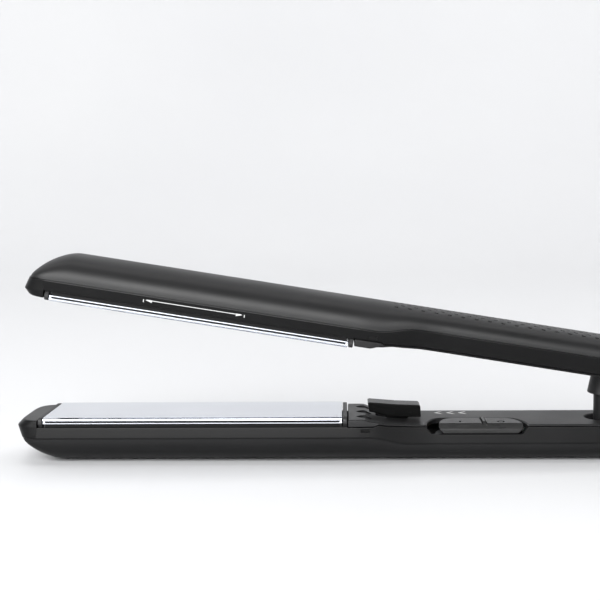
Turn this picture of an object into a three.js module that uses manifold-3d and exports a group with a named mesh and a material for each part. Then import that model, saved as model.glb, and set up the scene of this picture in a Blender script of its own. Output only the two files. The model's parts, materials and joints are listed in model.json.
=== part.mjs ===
// A hair straightener: two hinged arms, each with a floating heated plate, an outer shell and an inner
// housing. Millimetres, +Z up. The nose points to -X, and the hinge and the cord gland are at +X.
//
// Each arm is drawn in a frame of its own (u, v, w): u runs from the plate's nose end towards the hinge, v
// runs across, and w runs outwards from the plane where the two plates meet. The upper arm lies over that
// plane and is turned open about the hinge; the lower arm is the same frame after half a turn about its
// length.
import * as THREE from "three";
import { mergeVertices } from "three/addons/utils/BufferGeometryUtils.js";
import Module from "manifold-3d";

// ---- Driving dimensions ----
const PLATE_LENGTH = 110;
const PLATE_WIDTH = 33;
const PLATE_THICKNESS = 1.2;
const PLATE_EDGE_RADIUS = 1.7;
const PLATE_FLANGE = 2.4; // how deep the rolled edges reach
const HINGE_U = 267.8;
const OPENING_DEG = 9.28;
const ARM_HEIGHT = 17.5; // from the plates' meeting plane to the crown
const NOSE_U = -11;
const TAIL_U = 284.5;
const GLAND_END_U = 296;
const HALF_WIDTH_PLATES = 17.5;
const HALF_WIDTH_HANDLE = 14.9;
const SEAM_PLATES = 7.66; // w of the seam between shell and housing, beside the plates
const SEAM_HANDLE = 10.33;
const SHELL_WALL = 1.8;
const GAP = 0.3;
const BARREL_RADIUS = 8.5;
const EAR_CLEARANCE_RADIUS = 8.9;
const PIN_RADIUS = 2;
const GLAND_W = 9.6;
const SPRING_U = 208;
const CUP_U = 207.8;
const SCREW_US = [232, 250];
const CUSHION_SPANS = [
  ["front", 9, 23],
  ["rear", 87, 101],
];
const CENTRE_U = (NOSE_U + GLAND_END_U) / 2;

// ---- Materials ----
function material(color, roughness, metalness) {
  return new THREE.MeshStandardMaterial({ color, roughness, metalness });
}
const softBlack = material(0x2b2b2d, 0.62, 0);
const housingBlack = material(0x121213, 0.45, 0);
const coverBlack = material(0x2e2f31, 0.5, 0);
const glossBlack = material(0x141416, 0.2, 0);
const switchGrey = material(0x6a6c70, 0.4, 0);
const plateMirror = material(0xc4c8d0, 0.08, 1);
const heatPlastic = material(0x1c1c1d, 0.7, 0);
const silicone = material(0xb5483a, 0.8, 0);
const ceramic = material(0xe8e6df, 0.6, 0);
const boardGreen = material(0x1f5a38, 0.5, 0);
const steel = material(0xa9abad, 0.3, 1);
const brass = material(0xb6954a, 0.35, 1);
const capacitorYellow = material(0xc9a22e, 0.45, 0);
const aluminium = material(0xb9bcc0, 0.4, 1);
const wireWhite = material(0xdedad0, 0.6, 0);

// ---- Solids ----
const wasm = await Module();
wasm.setup();

// A closed geometry as a solid whose faces point outwards.
function solid(geometry) {
  const bare = new THREE.BufferGeometry();
  const faces = geometry.index ? geometry.toNonIndexed() : geometry;
  bare.setAttribute("position", faces.getAttribute("position"));
  const merged = mergeVertices(bare, 1e-4);
  const vertProperties = merged.attributes.position.array;
  const triVerts = new Uint32Array(merged.index.array);
  const made = new wasm.Manifold(new wasm.Mesh({ numProp: 3, vertProperties, triVerts }));
  if (made.volume() > 0) return made;
  triVerts.reverse();
  return new wasm.Manifold(new wasm.Mesh({ numProp: 3, vertProperties, triVerts }));
}

function geometryOf(shape) {
  const mesh = shape.getMesh();
  const geometry = new THREE.BufferGeometry();
  geometry.setAttribute("position", new THREE.BufferAttribute(mesh.vertProperties, 3));
  geometry.setIndex(new THREE.BufferAttribute(mesh.triVerts, 1));
  return geometry;
}

const ordered = (a, b) => (a < b ? [a, b] : [b, a]);
const join = (...shapes) => shapes.reduce((whole, shape) => whole.add(shape));
const cut = (shape, ...tools) => tools.reduce((rest, tool) => rest.subtract(tool), shape);

function box([u0, u1], [v0, v1], [w0, w1]) {
  const geometry = new THREE.BoxGeometry(u1 - u0, v1 - v0, w1 - w0);
  geometry.translate((u0 + u1) / 2, (v0 + v1) / 2, (w0 + w1) / 2);
  return solid(geometry);
}

// A cylinder along u, v or w, from one place to another on that axis; centre gives the two other places in
// order.
function cylinder(axis, radius, [from, to], centre, sides = 24) {
  const geometry = new THREE.CylinderGeometry(radius, radius, to - from, sides);
  geometry.translate(0, (from + to) / 2, 0);
  return solid(along(geometry, axis, centre));
}

// A turned piece: the profile holds [radius, place on the axis] and closes on itself or on the axis.
function turned(axis, profile, centre, sides = 24) {
  const points = profile.map(([radius, place]) => new THREE.Vector2(radius, place));
  return solid(along(new THREE.LatheGeometry(points, sides), axis, centre));
}

// Turns a geometry whose axis is Y to lie along u, v or w.
function along(geometry, axis, [first, second]) {
  if (axis === "u") return geometry.rotateZ(-Math.PI / 2).translate(0, first, second);
  if (axis === "v") return geometry.translate(first, 0, second);
  return geometry.rotateX(Math.PI / 2).translate(first, second, 0);
}

// A plan outline in (u, v), extruded from one w to another.
function plate(outline, [w0, w1]) {
  const shape = new THREE.Shape(outline.map(([u, v]) => new THREE.Vector2(u, v)));
  const geometry = new THREE.ExtrudeGeometry(shape, { depth: w1 - w0, bevelEnabled: false });
  return solid(geometry.translate(0, 0, w0));
}

// A cross-section in (v, w), extruded from one u to another.
function bar(outline, [u0, u1]) {
  const sections = [u0, u1].map((u) => ({ at: u, points: outline }));
  return loft(sections, (at, [v, w]) => [at, v, w]);
}

// A side outline in (u, w), extruded from one v to another.
function slice(outline, [v0, v1]) {
  const sections = [v0, v1].map((v) => ({ at: v, points: outline }));
  return loft(sections, (at, [u, w]) => [u, at, w]);
}

// A skin through sections with the same number of points, closed by a flat face at each end.
function loft(sections, place) {
  const count = sections[0].points.length;
  const positions = sections.flatMap(({ at, points }) => points.flatMap((point) => place(at, point)));
  const index = [];
  for (let s = 0; s + 1 < sections.length; s++) {
    for (let k = 0; k < count; k++) {
      const a = s * count + k;
      const b = s * count + ((k + 1) % count);
      index.push(a, b, b + count, a, b + count, a + count);
    }
  }
  const last = (sections.length - 1) * count;
  const flat = (section) => section.points.map(([x, y]) => new THREE.Vector2(x, y));
  for (const [a, b, c] of THREE.ShapeUtils.triangulateShape(flat(sections[0]), [])) {
    index.push(...(clockwise(sections[0]) ? [a, b, c] : [a, c, b]));
  }
  for (const [a, b, c] of THREE.ShapeUtils.triangulateShape(flat(sections.at(-1)), [])) {
    index.push(...(clockwise(sections[0]) ? [last + a, last + c, last + b] : [last + a, last + b, last + c]));
  }
  const geometry = new THREE.BufferGeometry();
  geometry.setAttribute("position", new THREE.Float32BufferAttribute(positions, 3));
  geometry.setIndex(index);
  return solid(geometry);
}

function clockwise(section) {
  return THREE.ShapeUtils.isClockWise(section.points.map(([x, y]) => new THREE.Vector2(x, y)));
}

// A round wire along a curve.
function wire(curve, radius, steps, sides = 8) {
  const ring = new THREE.Shape();
  ring.absarc(0, 0, radius, 0, 2 * Math.PI);
  const options = { steps, curveSegments: sides / 2, bevelEnabled: false, extrudePath: curve };
  return solid(new THREE.ExtrudeGeometry(ring, options));
}

// ---- The arm's form, as functions of u ----
const SEAM_WAVE_SPAN = [119.5, 134.5]; // where the seam steps from the plates' height to the handle's
const WAIST_SPAN = [112, 145]; // where the arm narrows from the plates' width to the handle's
const NOSE_FULL_U = 1; // where the nose reaches its full width
const SHELL_TIP_U = -9.1;
const CROWN_FULL_U = 5.7; // where the crown reaches its full height
const CROWN_POWER = 0.833;
const CROWN_STEPS = 6;
const FLAT_ANGLE = THREE.MathUtils.degToRad(75); // where the crown's curve gives way to a flat top
const TAIL_ROUND = 7; // length over which the tail draws in
const TAIL_FLAT = 1.5; // how far short of closing the tail's curve is cut off
function smooth(from, to, u) {
  const t = THREE.MathUtils.clamp((u - from) / (to - from), 0, 1);
  return t * t * (3 - 2 * t);
}
const mix = (a, b, t) => a + (b - a) * t;

const seam = (u) => mix(SEAM_PLATES, SEAM_HANDLE, smooth(...SEAM_WAVE_SPAN, u));
const tailX = (u) => THREE.MathUtils.clamp((u - TAIL_U + TAIL_ROUND) / (TAIL_ROUND + TAIL_FLAT), 0, 1);

// The plan's half-width. A nose with its tip at tipU closes in on a blunt curve.
function halfWidth(u, tipU) {
  const straight = mix(HALF_WIDTH_PLATES, HALF_WIDTH_HANDLE, smooth(...WAIST_SPAN, u));
  const x = THREE.MathUtils.clamp((NOSE_FULL_U - u) / (NOSE_FULL_U - tipU), 0, 1);
  return straight * (1 - x ** 3) ** 0.2 * (1 - tailX(u) ** 3) ** 0.5;
}

// The crown's height: flat along the arm, falling in a curve to the seam at the nose and part of the way at
// the tail.
function crownTop(u) {
  const x = THREE.MathUtils.clamp((CROWN_FULL_U - u) / (CROWN_FULL_U - SHELL_TIP_U), 0, 1);
  const rise = (1 - x ** 1.7) ** 0.75 * (1 - tailX(u) ** 2) ** 0.5;
  return mix(seam(u), ARM_HEIGHT, rise);
}

// Half of the crown as a superellipse that ends in a flat on top, then its mirror image.
function crown(half, base, top) {
  const side = [];
  for (let k = 0; k < CROWN_STEPS; k++) {
    const angle = (FLAT_ANGLE * k) / (CROWN_STEPS - 1);
    const rise = (Math.sin(angle) / Math.sin(FLAT_ANGLE)) ** CROWN_POWER;
    side.push([half * Math.cos(angle) ** CROWN_POWER, mix(base, top, rise)]);
  }
  return [...side, ...side.map(([v, w]) => [-v, w]).reverse()];
}

const NOSE_STATIONS = [-8.95, -8.5, -7.8, -6.6, -5, -2.8, -0.4, 2.4, CROWN_FULL_U];
const WAIST_STATIONS = [112, 117, 121, 124, 127, 130, 134, 139, 145];
const TAIL_STATIONS = [200, 258, TAIL_U - TAIL_ROUND, 280, 282, 283.5, TAIL_U];
const sectionsAt = (stations, points) => stations.map((u) => ({ at: u, points: points(u) }));
const acrossU = (at, [v, w]) => [at, v, w];

// ---- Outer shell ----
const INNER_NOSE_STATIONS = [-7.15, -6.4, -4.9, -2.5, 1, CROWN_FULL_U];
const INNER_TAIL_STATIONS = [200, 258, TAIL_U - TAIL_ROUND, 279.8];
function outerShell(isLower) {
  const outside = loft(
    sectionsAt([...NOSE_STATIONS, ...WAIST_STATIONS, ...TAIL_STATIONS], (u) =>
      crown(halfWidth(u, SHELL_TIP_U), seam(u) + GAP / 2, Math.max(crownTop(u), seam(u) + GAP)),
    ),
    acrossU,
  );
  const inside = loft(
    sectionsAt([...INNER_NOSE_STATIONS, ...WAIST_STATIONS, ...INNER_TAIL_STATIONS], (u) => {
      const half = halfWidth(u, SHELL_TIP_U + SHELL_WALL) - SHELL_WALL;
      return crown(half, seam(u) - 1, crownTop(u - GAP) - SHELL_WALL);
    }),
    acrossU,
  );
  const shell = cut(outside, inside);
  return isLower ? cut(shell, glandHole()) : shell;
}

// ---- Inner housing: side walls, nose bumper, cross webs, and the hinge's barrel or ears ----
const RIM_PLATES = 3.6;
const COVER_EDGE_BLOCK = 3.55; // how deep the handle cover's edge reaches beside the raised block
const COVER_EDGE_DEPTH = 0.55; // how deep it reaches below the cover's face along the handle
const COVER_START_U = 112.3;
const COVER_END_U = 257;
function coverFace(u) {
  const block = mix(0.95, 1.8, smooth(118, 121, u));
  return mix(mix(block, 2.75, smooth(120.5, 127, u)), 3.3, smooth(126, 138, u));
}
const coverEdge = (u) => mix(COVER_EDGE_BLOCK, coverFace(u) + COVER_EDGE_DEPTH, smooth(121.5, 124, u));
function rim(u) {
  if (u < 112) return RIM_PLATES;
  return u > 277.2 ? 3.3 : coverEdge(u) + GAP;
}
const TAIL_WALL = 2;
const RIM_DRAFT = 0.5; // the side walls lean in by this much towards the rim
const wallThickness = (u) => mix(1.4, 2, smooth(112, 125, u));

// The bumper is a stack of blunt outlines: [w, tip of the nose at that height, half-width at its back].
const BUMPER_LEVELS = [
  [0.9, -8.6, 16.6],
  [1.6, -9.8, 16.9],
  [2.8, -10.7, 17],
  [4.6, NOSE_U, 17.1],
  [6.2, -10.8, 17.3],
  [SEAM_PLATES - GAP / 2, -10.2, 17.5],
];
const BUMPER_BACK_U = -2.2;
function bumperOutline(tipU, half) {
  const side = [[BUMPER_BACK_U, half * 0.995]];
  for (const degrees of [25, 40, 55, 68, 79, 86]) {
    const angle = THREE.MathUtils.degToRad(degrees);
    const x = Math.sin(angle) ** (2 / 3);
    side.push([mix(NOSE_FULL_U, tipU, x), half * Math.cos(angle) ** 0.4]);
  }
  return [...side, ...side.map(([u, v]) => [u, -v]).reverse()];
}
function bumper() {
  const levels = BUMPER_LEVELS.map(([w, tipU, half]) => ({ at: w, points: bumperOutline(tipU, half) }));
  return loft(levels, (at, [u, v]) => [u, v, at]);
}

function sideWalls() {
  const stations = [-3, 8, 111.9, 112.1, 117, 121, 122, 123, 124, 127, 130, 134, 139, 145];
  const outside = loft(
    sectionsAt([...stations, 258, 277, 277.5, 280, 282, 283.5, TAIL_U], (u) => {
      const half = halfWidth(u, NOSE_U);
      const base = seam(u) - GAP / 2;
      return [
        [half, base],
        [-half, base],
        [RIM_DRAFT - half, rim(u)],
        [half - RIM_DRAFT, rim(u)],
      ];
    }),
    acrossU,
  );
  const cavity = loft(
    sectionsAt([BUMPER_BACK_U, 112, 117, 121, 127, 134, 145, 277, TAIL_U - TAIL_WALL], (u) => {
      const half = Math.min(halfWidth(u, NOSE_U), HALF_WIDTH_PLATES) - wallThickness(u);
      return [
        [half, -5],
        [half, 20],
        [-half, 20],
        [-half, -5],
      ];
    }),
    acrossU,
  );
  return cut(outside, cavity);
}

const WEB_HALF = 13.4; // reaches into the side walls, below the seam
const WEB_HALF_INSIDE = 12.2; // clear of the shell, above the seam
function steppedWeb([u0, u1], [w0, w1]) {
  const foot = box([u0, u1], [-WEB_HALF, WEB_HALF], [w0, SEAM_HANDLE - GAP / 2]);
  return join(foot, box([u0, u1], [-WEB_HALF_INSIDE, WEB_HALF_INSIDE], [w0, w1]));
}
function cushionWeb(from, to) {
  const foot = box([from, to], [-16.4, 16.4], [6.6, SEAM_PLATES - GAP / 2]);
  return join(foot, box([from, to], [-14.8, 14.8], [6.6, 8.4]));
}
function crossWebs(isLower) {
  const webs = CUSHION_SPANS.map(([, from, to]) => cushionWeb(from - 1, to + 1));
  for (const u of SCREW_US) {
    const web = box([u - 3.5, u + 3.5], [-WEB_HALF, WEB_HALF], [5.6, 8.4]);
    webs.push(cut(web, cylinder("w", 1.75, [5, 9], [u, 0], 16)));
  }
  if (isLower) {
    webs.push(steppedWeb([143, 145.5], [8.8, 11.7]), steppedWeb([194, 196.5], [8.8, 11.7]));
  }
  return webs;
}

const BARREL_HALF = 7;
const EAR_SPAN = [8.2, 14.4];
function hingeBarrel() {
  const across = [-BARREL_HALF, BARREL_HALF];
  const barrel = cylinder("v", BARREL_RADIUS, across, [HINGE_U, 0]);
  const riser = box([HINGE_U - BARREL_RADIUS, 271.5], across, [0, 10]);
  const web = steppedWeb([HINGE_U - BARREL_RADIUS, 271.5], [9.2, 11.2]);
  return join(barrel, riser, web);
}
function hingeEar(side) {
  const span = ordered(EAR_SPAN[0] * side, EAR_SPAN[1] * side);
  const disc = cylinder("v", BARREL_RADIUS, span, [HINGE_U, 0]);
  const riser = box([HINGE_U - BARREL_RADIUS, HINGE_U + BARREL_RADIUS], span, [0, 9.5]);
  return join(disc, riser);
}

function innerHousing(isLower) {
  const pinBore = cylinder("v", PIN_RADIUS + GAP, [-20, 20], [HINGE_U, 0]);
  const walls = cut(join(sideWalls(), bumper(), ...crossWebs(isLower)), snapSlots());
  if (!isLower) {
    const counterbores = [-1, 1].map((side) =>
      cylinder("v", 5.6, ordered(13.4 * side, 18 * side), [HINGE_U, 0]),
    );
    return cut(join(walls, hingeEar(-1), hingeEar(1)), pinBore, ...counterbores);
  }
  const earRooms = [-1, 1].map((side) =>
    cylinder("v", EAR_CLEARANCE_RADIUS, ordered(7.4 * side, 18 * side), [HINGE_U, 0]),
  );
  const body = join(cut(walls, ...earRooms), hingeBarrel());
  return cut(body, pinBore, sliderRoom(), glandHole());
}

// The slots on both sides of the raised block where the cover is unclipped, half in the cover, half in the
// housing.
function snapSlots() {
  return join(...[-1, 1].map((side) => box([116.8, 120.1], ordered(16.2 * side, 20 * side), [4.4, 5.5])));
}

// ---- Handle cover: the raised block beside the plate, and the long inner face of the handle ----
const TONGUE = 1.3; // how far the cover's inner step reaches into the housing
function coverBlank() {
  const stations = [COVER_START_U, 118, 120, 121, 122.5, 124, 126, 128, 131, 135, 139, 145, COVER_END_U];
  return loft(
    sectionsAt(stations, (u) => {
      const half = halfWidth(u, NOSE_U) - RIM_DRAFT;
      const inner = halfWidth(u, NOSE_U) - wallThickness(u) - GAP;
      const side = [
        [half - 0.6, coverFace(u)],
        [half - 0.1, coverFace(u) + 0.5],
        [half, coverEdge(u)],
        [inner, coverEdge(u) + 0.05],
        [inner, coverEdge(u) + TONGUE],
      ];
      return [...side, ...side.map(([v, w]) => [-v, w]).reverse()];
    }),
    acrossU,
  );
}

const VENT_VS = [-10, 0, 10];
const VENT_START_U = 115.2;
const VENT_LENGTH = 6;
const VENT_HALF = 2.6;
function vent(v) {
  const outline = [];
  for (const side of [1, -1]) {
    for (const t of [0, 0.2, 0.5, 0.8]) {
      const place = side > 0 ? t : 1 - t;
      const half = VENT_HALF * Math.sin(Math.PI * place) ** 0.8;
      outline.push([VENT_START_U + VENT_LENGTH * place, v - side * half]);
    }
  }
  return plate(outline, [0, 8]);
}

function screwHole(u) {
  return join(cylinder("w", 1.7, [2, 7], [u, 0], 16), cylinder("w", 3.2, [2, 4.7], [u, 0]));
}

// Outline of a slot for a slider on the near edge: round inner corners, open at the side.
function edgeOutline([u0, u1], [vInner, vOuter], [reachU, reachV]) {
  const shape = new THREE.Shape();
  shape.moveTo(u0, vOuter);
  shape.lineTo(u0, vInner + reachV);
  shape.absellipse(u0 + reachU, vInner + reachV, reachU, reachV, Math.PI, 1.5 * Math.PI);
  shape.absellipse(u1 - reachU, vInner + reachV, reachU, reachV, 1.5 * Math.PI, 2 * Math.PI);
  shape.lineTo(u1, vOuter);
  return shape.getPoints(6).map((point) => [point.x, point.y]);
}
// Wedges that slant the two lower corners of the slider, or of its room, whose floor is at wFloor.
const SLANT = 2;
function slantedCorners([u0, u1], wFloor) {
  return [
    [u0, 1],
    [u1, -1],
  ].map(([end, inwards]) => {
    const [outside, low] = [end - inwards, wFloor + 1];
    const corner = [
      [outside, wFloor - SLANT - 1],
      [end + inwards * (SLANT + 1), low],
      [outside, low],
    ];
    return slice(inwards > 0 ? corner : corner.reverse(), [-1, 21]);
  });
}

const SLIDER_ROOM = [140.9, 177.6];
const SLIDER_INNER_V = 1.4;
const SLIDER_FLOOR = 6.9;
const SLIDER_ROOM_REACH = [6.4, 12.9];
function sliderRoom() {
  const room = plate(edgeOutline(SLIDER_ROOM, [SLIDER_INNER_V, 20], SLIDER_ROOM_REACH), [-2, SLIDER_FLOOR]);
  return cut(room, ...slantedCorners(SLIDER_ROOM, SLIDER_FLOOR));
}

// The upper cover has a pocket for the lock slider. A thin ledge stands into it at the nose side, and the
// slider's lip hooks behind that ledge while the slider's cheeks pass on both sides of it.
const POCKET_START_U = 115.2;
const POCKET_HALF = 5.6;
const LEDGE_EDGE_U = 117.3;
const LEDGE_HALF = 3;
const LEDGE_BACK = 2.15;
function handleCover(isLower) {
  const screws = SCREW_US.map(screwHole);
  if (isLower) {
    const stemSlot = box([122.6, 134.9], [-2.2, 2.2], [0, 9]);
    const postHole = cylinder("w", 7.2, [2, 7], [SPRING_U, 0]);
    return cut(coverBlank(), snapSlots(), ...screws, ...VENT_VS.map(vent), stemSlot, postHole, sliderRoom());
  }
  const pocket = box([POCKET_START_U, 141.5], [-POCKET_HALF, POCKET_HALF], [0, 9]);
  const ledge = box([POCKET_START_U - 1, LEDGE_EDGE_U], [-LEDGE_HALF, LEDGE_HALF], [-1, LEDGE_BACK]);
  const cupHole = cylinder("w", 6.6, [2, 7], [CUP_U, 0]);
  return cut(coverBlank(), snapSlots(), ...screws, cut(pocket, ledge), cupHole);
}

// ---- Floating plate assembly ----
function mirrored(side) {
  return [...side, ...side.map(([v, w]) => [-v, w]).reverse()];
}
function roundCorner(vOuter, wFlat, radius, steps) {
  const points = [];
  for (let k = 0; k <= steps; k++) {
    const angle = (Math.PI / 2) * (k / steps);
    points.push([vOuter - radius + radius * Math.sin(angle), wFlat + radius - radius * Math.cos(angle)]);
  }
  return points;
}
function heatedPlate() {
  const half = PLATE_WIDTH / 2;
  const outer = roundCorner(half, 0, PLATE_EDGE_RADIUS, 5);
  const inner = roundCorner(half - 1, PLATE_THICKNESS, PLATE_EDGE_RADIUS - 1, 2).reverse();
  const side = [...outer, [half, PLATE_FLANGE], [half - 1, PLATE_FLANGE], ...inner];
  // The outer skin and the inner skin each run right across, so the section is walked round once.
  const left = side.map(([v, w]) => [-v, w]).reverse();
  return bar([...side, ...left], [0, PLATE_LENGTH]);
}
const HOLDER_BOTTOM = 4.5;
function plateHolder() {
  const blank = box([0.2, PLATE_LENGTH - 0.2], [-15.2, 15.2], [2.7, HOLDER_BOTTOM]);
  return cut(blank, box([5.5, 104.5], [-8.4, 8.4], [2, 3.5]));
}
function heater() {
  return box([6, 104], [-8, 8], [1.5, 3.2]);
}
function endCap(span) {
  const side = [...roundCorner(16.2, 0.1, 1.5, 3), [16.2, PLATE_FLANGE], [15.7, 3], [15.2, HOLDER_BOTTOM]];
  return bar(mirrored(side), span);
}
function thermistor() {
  return cylinder("u", 0.55, [50, 58], [11.5, 1.95], 12);
}
function cushion(from, to) {
  return box([from, to], [-12, 12], [HOLDER_BOTTOM + GAP, 6.3]);
}

// ---- Lower arm's own pieces ----
function springPost() {
  const profile = [
    [0, 11.7],
    [5.2, 11.7],
    [5.2, 10.7],
    [3.9, 10.7],
    [3.9, -9.1],
    [3.6, -9.5],
    [3.25, -9.5],
    [3.25, 10.8],
    [0, 10.8],
  ];
  return turned("w", profile, [SPRING_U, 0]);
}
function sliderTrack() {
  const [from, to] = SLIDER_ROOM;
  const outline = edgeOutline([from + 3.4, to - 3.4], [SLIDER_INNER_V + 0.4, 12.5], [6, 9]);
  return cut(plate(outline, [SLIDER_FLOOR + GAP, 8.4]), box([154, 163.4], [5.6, 8.4], [6, 9]));
}
function controlBoard() {
  return box([146, 198], [-9.5, 9.5], [12.2, 13.4]);
}
function capacitor() {
  return cylinder("u", 2.9, [152, 168], [-5.5, 8.9], 20);
}
function switchBody() {
  return box([152, 170], [3, 11], [8.8, 11.9]);
}
function triacSink() {
  const span = [178.5, 192];
  const base = box(span, [-6, 6], [10.2, 11.9]);
  const fins = [-5.2, -2.6, 0, 2.6, 5.2].map((v) => box(span, [v - 0.5, v + 0.5], [6.4, 10.5]));
  return join(base, ...fins);
}
function brushHolder() {
  return box([273.5, 278.5], [-4, 4], [13.4, 15]);
}

// ---- Sliders ----
const POWER_SLIDER_SPAN = [145.4, 176];
const POWER_SLIDER_EDGE_V = 14.7;
const POWER_SLIDER_W = [3.1, 6.6];
function powerSlider() {
  const outline = edgeOutline(POWER_SLIDER_SPAN, [2.1, POWER_SLIDER_EDGE_V], [6, 12.3]);
  const blank = plate(outline, POWER_SLIDER_W);
  const [start, end] = [POWER_SLIDER_SPAN[0] - 1, POWER_SLIDER_SPAN[1] + 1];
  const face = bar(
    [
      [12.6, 3],
      [16, 3],
      [16, 7],
      [14.45, 7],
      [14.4, 4.9],
    ],
    [start, end],
  );
  const rib = box([161.6, 162.7], [3, 12], [2.6, 3.4]);
  const driveTab = box([159, 161.6], [6, 8], [6, 8.4]);
  return join(cut(blank, face, ...slantedCorners(POWER_SLIDER_SPAN, POWER_SLIDER_W[1])), rib, driveTab);
}

// A thumb pad with a raised nose-side lip and a hollow back, on a stem with a foot under the cover.
const LOCK_PROFILE = [
  [119.6, -2.95],
  [120.2, -3.3],
  [124, -3],
  [130, -2.5],
  [138.6, -2.2],
  [139.2, -1.8],
  [139.4, 1.6],
  [126, 1.55],
  [123.8, 1.15],
  [121.6, 0.5],
  [120.2, 0.4],
];
const LOCK_HALF = 4.6;
function lockSlider() {
  const pad = slice(LOCK_PROFILE, [-LOCK_HALF, LOCK_HALF]);
  const underLip = box([118, 121.6], [-LEDGE_HALF - 0.4, LEDGE_HALF + 0.4], [-2.6, 2]);
  const stem = box([127, 134.5], [-1.8, 1.8], [0.5, 6.6]);
  const foot = box([125, 137], [-4.5, 4.5], [6.4, 7.6]);
  return join(cut(pad, underLip), stem, foot);
}

// ---- Upper arm's own pieces ----
function springCup() {
  const profile = [
    [0, 12.2],
    [5.9, 12.2],
    [5.9, 3],
    [6.2, -4.4],
    [6, -4.6],
    [5.2, -4.6],
    [5.05, 3],
    [5.05, 11],
    [0, 11],
  ];
  return turned("w", profile, [CUP_U, 0]);
}
function hingePin() {
  return cylinder("v", PIN_RADIUS, [-13.1, 13.1], [HINGE_U, 0], 20);
}
function hingeCap(side) {
  const profile = [
    [0, 13.5],
    [5.3, 13.5],
    [5.3, 14.5],
    [4.9, 14.9],
    [1.2, 14.9],
    [0.8, 14.5],
    [0, 14.5],
  ].map(([radius, v]) => [radius, v * side]);
  return turned("v", profile, [HINGE_U, 0]);
}
function hingeWasher(side) {
  const profile = [
    [2.4, 7.3],
    [6, 7.3],
    [6, 7.9],
    [2.4, 7.9],
    [2.4, 7.3],
  ].map(([radius, v]) => [radius, v * side]);
  return turned("v", profile, [HINGE_U, 0]);
}

// ---- Screws and wires ----
function coverScrew(u) {
  const profile = [
    [0, 8],
    [1.4, 7.6],
    [1.4, 4.5],
    [2.8, 4.5],
    [2.8, 3.7],
    [2.3, 3.4],
    [1.2, 3.4],
    [0, 4.1],
  ];
  return turned("w", profile, [u, 0], 16);
}
function heaterLead(places, steps) {
  const curve = new THREE.CatmullRomCurve3(places.map(([u, w]) => new THREE.Vector3(u, 0, w)));
  return wire(curve, 0.9, steps);
}
const LOWER_LEAD = [
  [105, 6.6],
  [112, 8.4],
  [122, 11.2],
  [134, 13],
  [145.6, 13.3],
];
const UPPER_LEAD = [
  [105, 6.6],
  [112, 8.4],
  [122, 11.2],
  [140, 13.2],
  [180, 13.6],
  [208, 13.8],
  [240, 13.6],
  [256, 13.2],
];

// ---- Cord gland: a collar that turns in the tail wall, with the cord's bore right through it ----
function glandHole() {
  const through = cylinder("u", 5.3, [280, 290], [0, GLAND_W]);
  return join(through, cylinder("u", 6.1, [278, 282.5], [0, GLAND_W]));
}
function cordGland() {
  const profile = [
    [3.5, 280.3],
    [5.8, 280.3],
    [5.8, 282.2],
    [5, 282.2],
    [5, 284.8],
    [6.4, 284.8],
    [6.6, 285.2],
    [6.6, 286.4],
    [5.8, 287.4],
    [4.9, 295.4],
    [4.5, GLAND_END_U],
    [3.5, GLAND_END_U],
    [3.5, 280.3],
  ];
  return turned("u", profile, [0, GLAND_W], 28);
}
function contactSleeve() {
  const profile = [
    [2.4, 273.8],
    [3.4, 273.8],
    [3.4, 275.4],
    [3, 275.6],
    [3, 277.2],
    [3.4, 277.4],
    [3.4, 280],
    [2.4, 280],
    [2.4, 273.8],
  ];
  return turned("u", profile, [0, GLAND_W]);
}

// ---- Return spring: an open coil from the post's floor to the cup's ceiling, in the part's own frame ----
const COIL_RADIUS = 2.2;
const COIL_WIRE = 0.45;
const COIL_TURNS = 8;
const COIL_BOTTOM = -10.2;
const COIL_TOP = 19.4;
const COIL_LEAN = 1.4; // how far the top has moved towards the hinge while the arms are open
class CoilCurve extends THREE.Curve {
  getPoint(t) {
    const angle = 2 * Math.PI * COIL_TURNS * t;
    const x = SPRING_U + COIL_LEAN * t ** 4 + COIL_RADIUS * Math.cos(angle);
    return new THREE.Vector3(x, COIL_RADIUS * Math.sin(angle), mix(COIL_BOTTOM, COIL_TOP, t));
  }
}
function returnSpring() {
  return wire(new CoilCurve(), COIL_WIRE, COIL_TURNS * 10, 6);
}

// ---- Assembly ----
function named(name, shape, look) {
  const mesh = new THREE.Mesh(geometryOf(shape), look);
  mesh.name = name;
  return mesh;
}

// The pieces that both arms have.
function armPieces(prefix, isLower) {
  const pieces = [
    named(`${prefix}_outer_shell`, outerShell(isLower), softBlack),
    named(`${prefix}_inner_housing`, innerHousing(isLower), housingBlack),
    named(`${prefix}_handle_cover`, handleCover(isLower), coverBlack),
    named(`${prefix}_plate`, heatedPlate(), plateMirror),
    named(`${prefix}_heater`, heater(), ceramic),
    named(`${prefix}_plate_holder`, plateHolder(), heatPlastic),
    named(`${prefix}_plate_cap_front`, endCap([-1.9, -0.3]), heatPlastic),
    named(`${prefix}_plate_cap_rear`, endCap([PLATE_LENGTH + 0.3, PLATE_LENGTH + 1.9]), heatPlastic),
    named(`${prefix}_thermistor`, thermistor(), brass),
  ];
  for (const [end, from, to] of CUSHION_SPANS) {
    pieces.push(named(`${prefix}_cushion_${end}`, cushion(from, to), silicone));
  }
  SCREW_US.forEach((u, k) => pieces.push(named(`${prefix}_cover_screw_${k + 1}`, coverScrew(u), steel)));
  return pieces;
}

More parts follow.
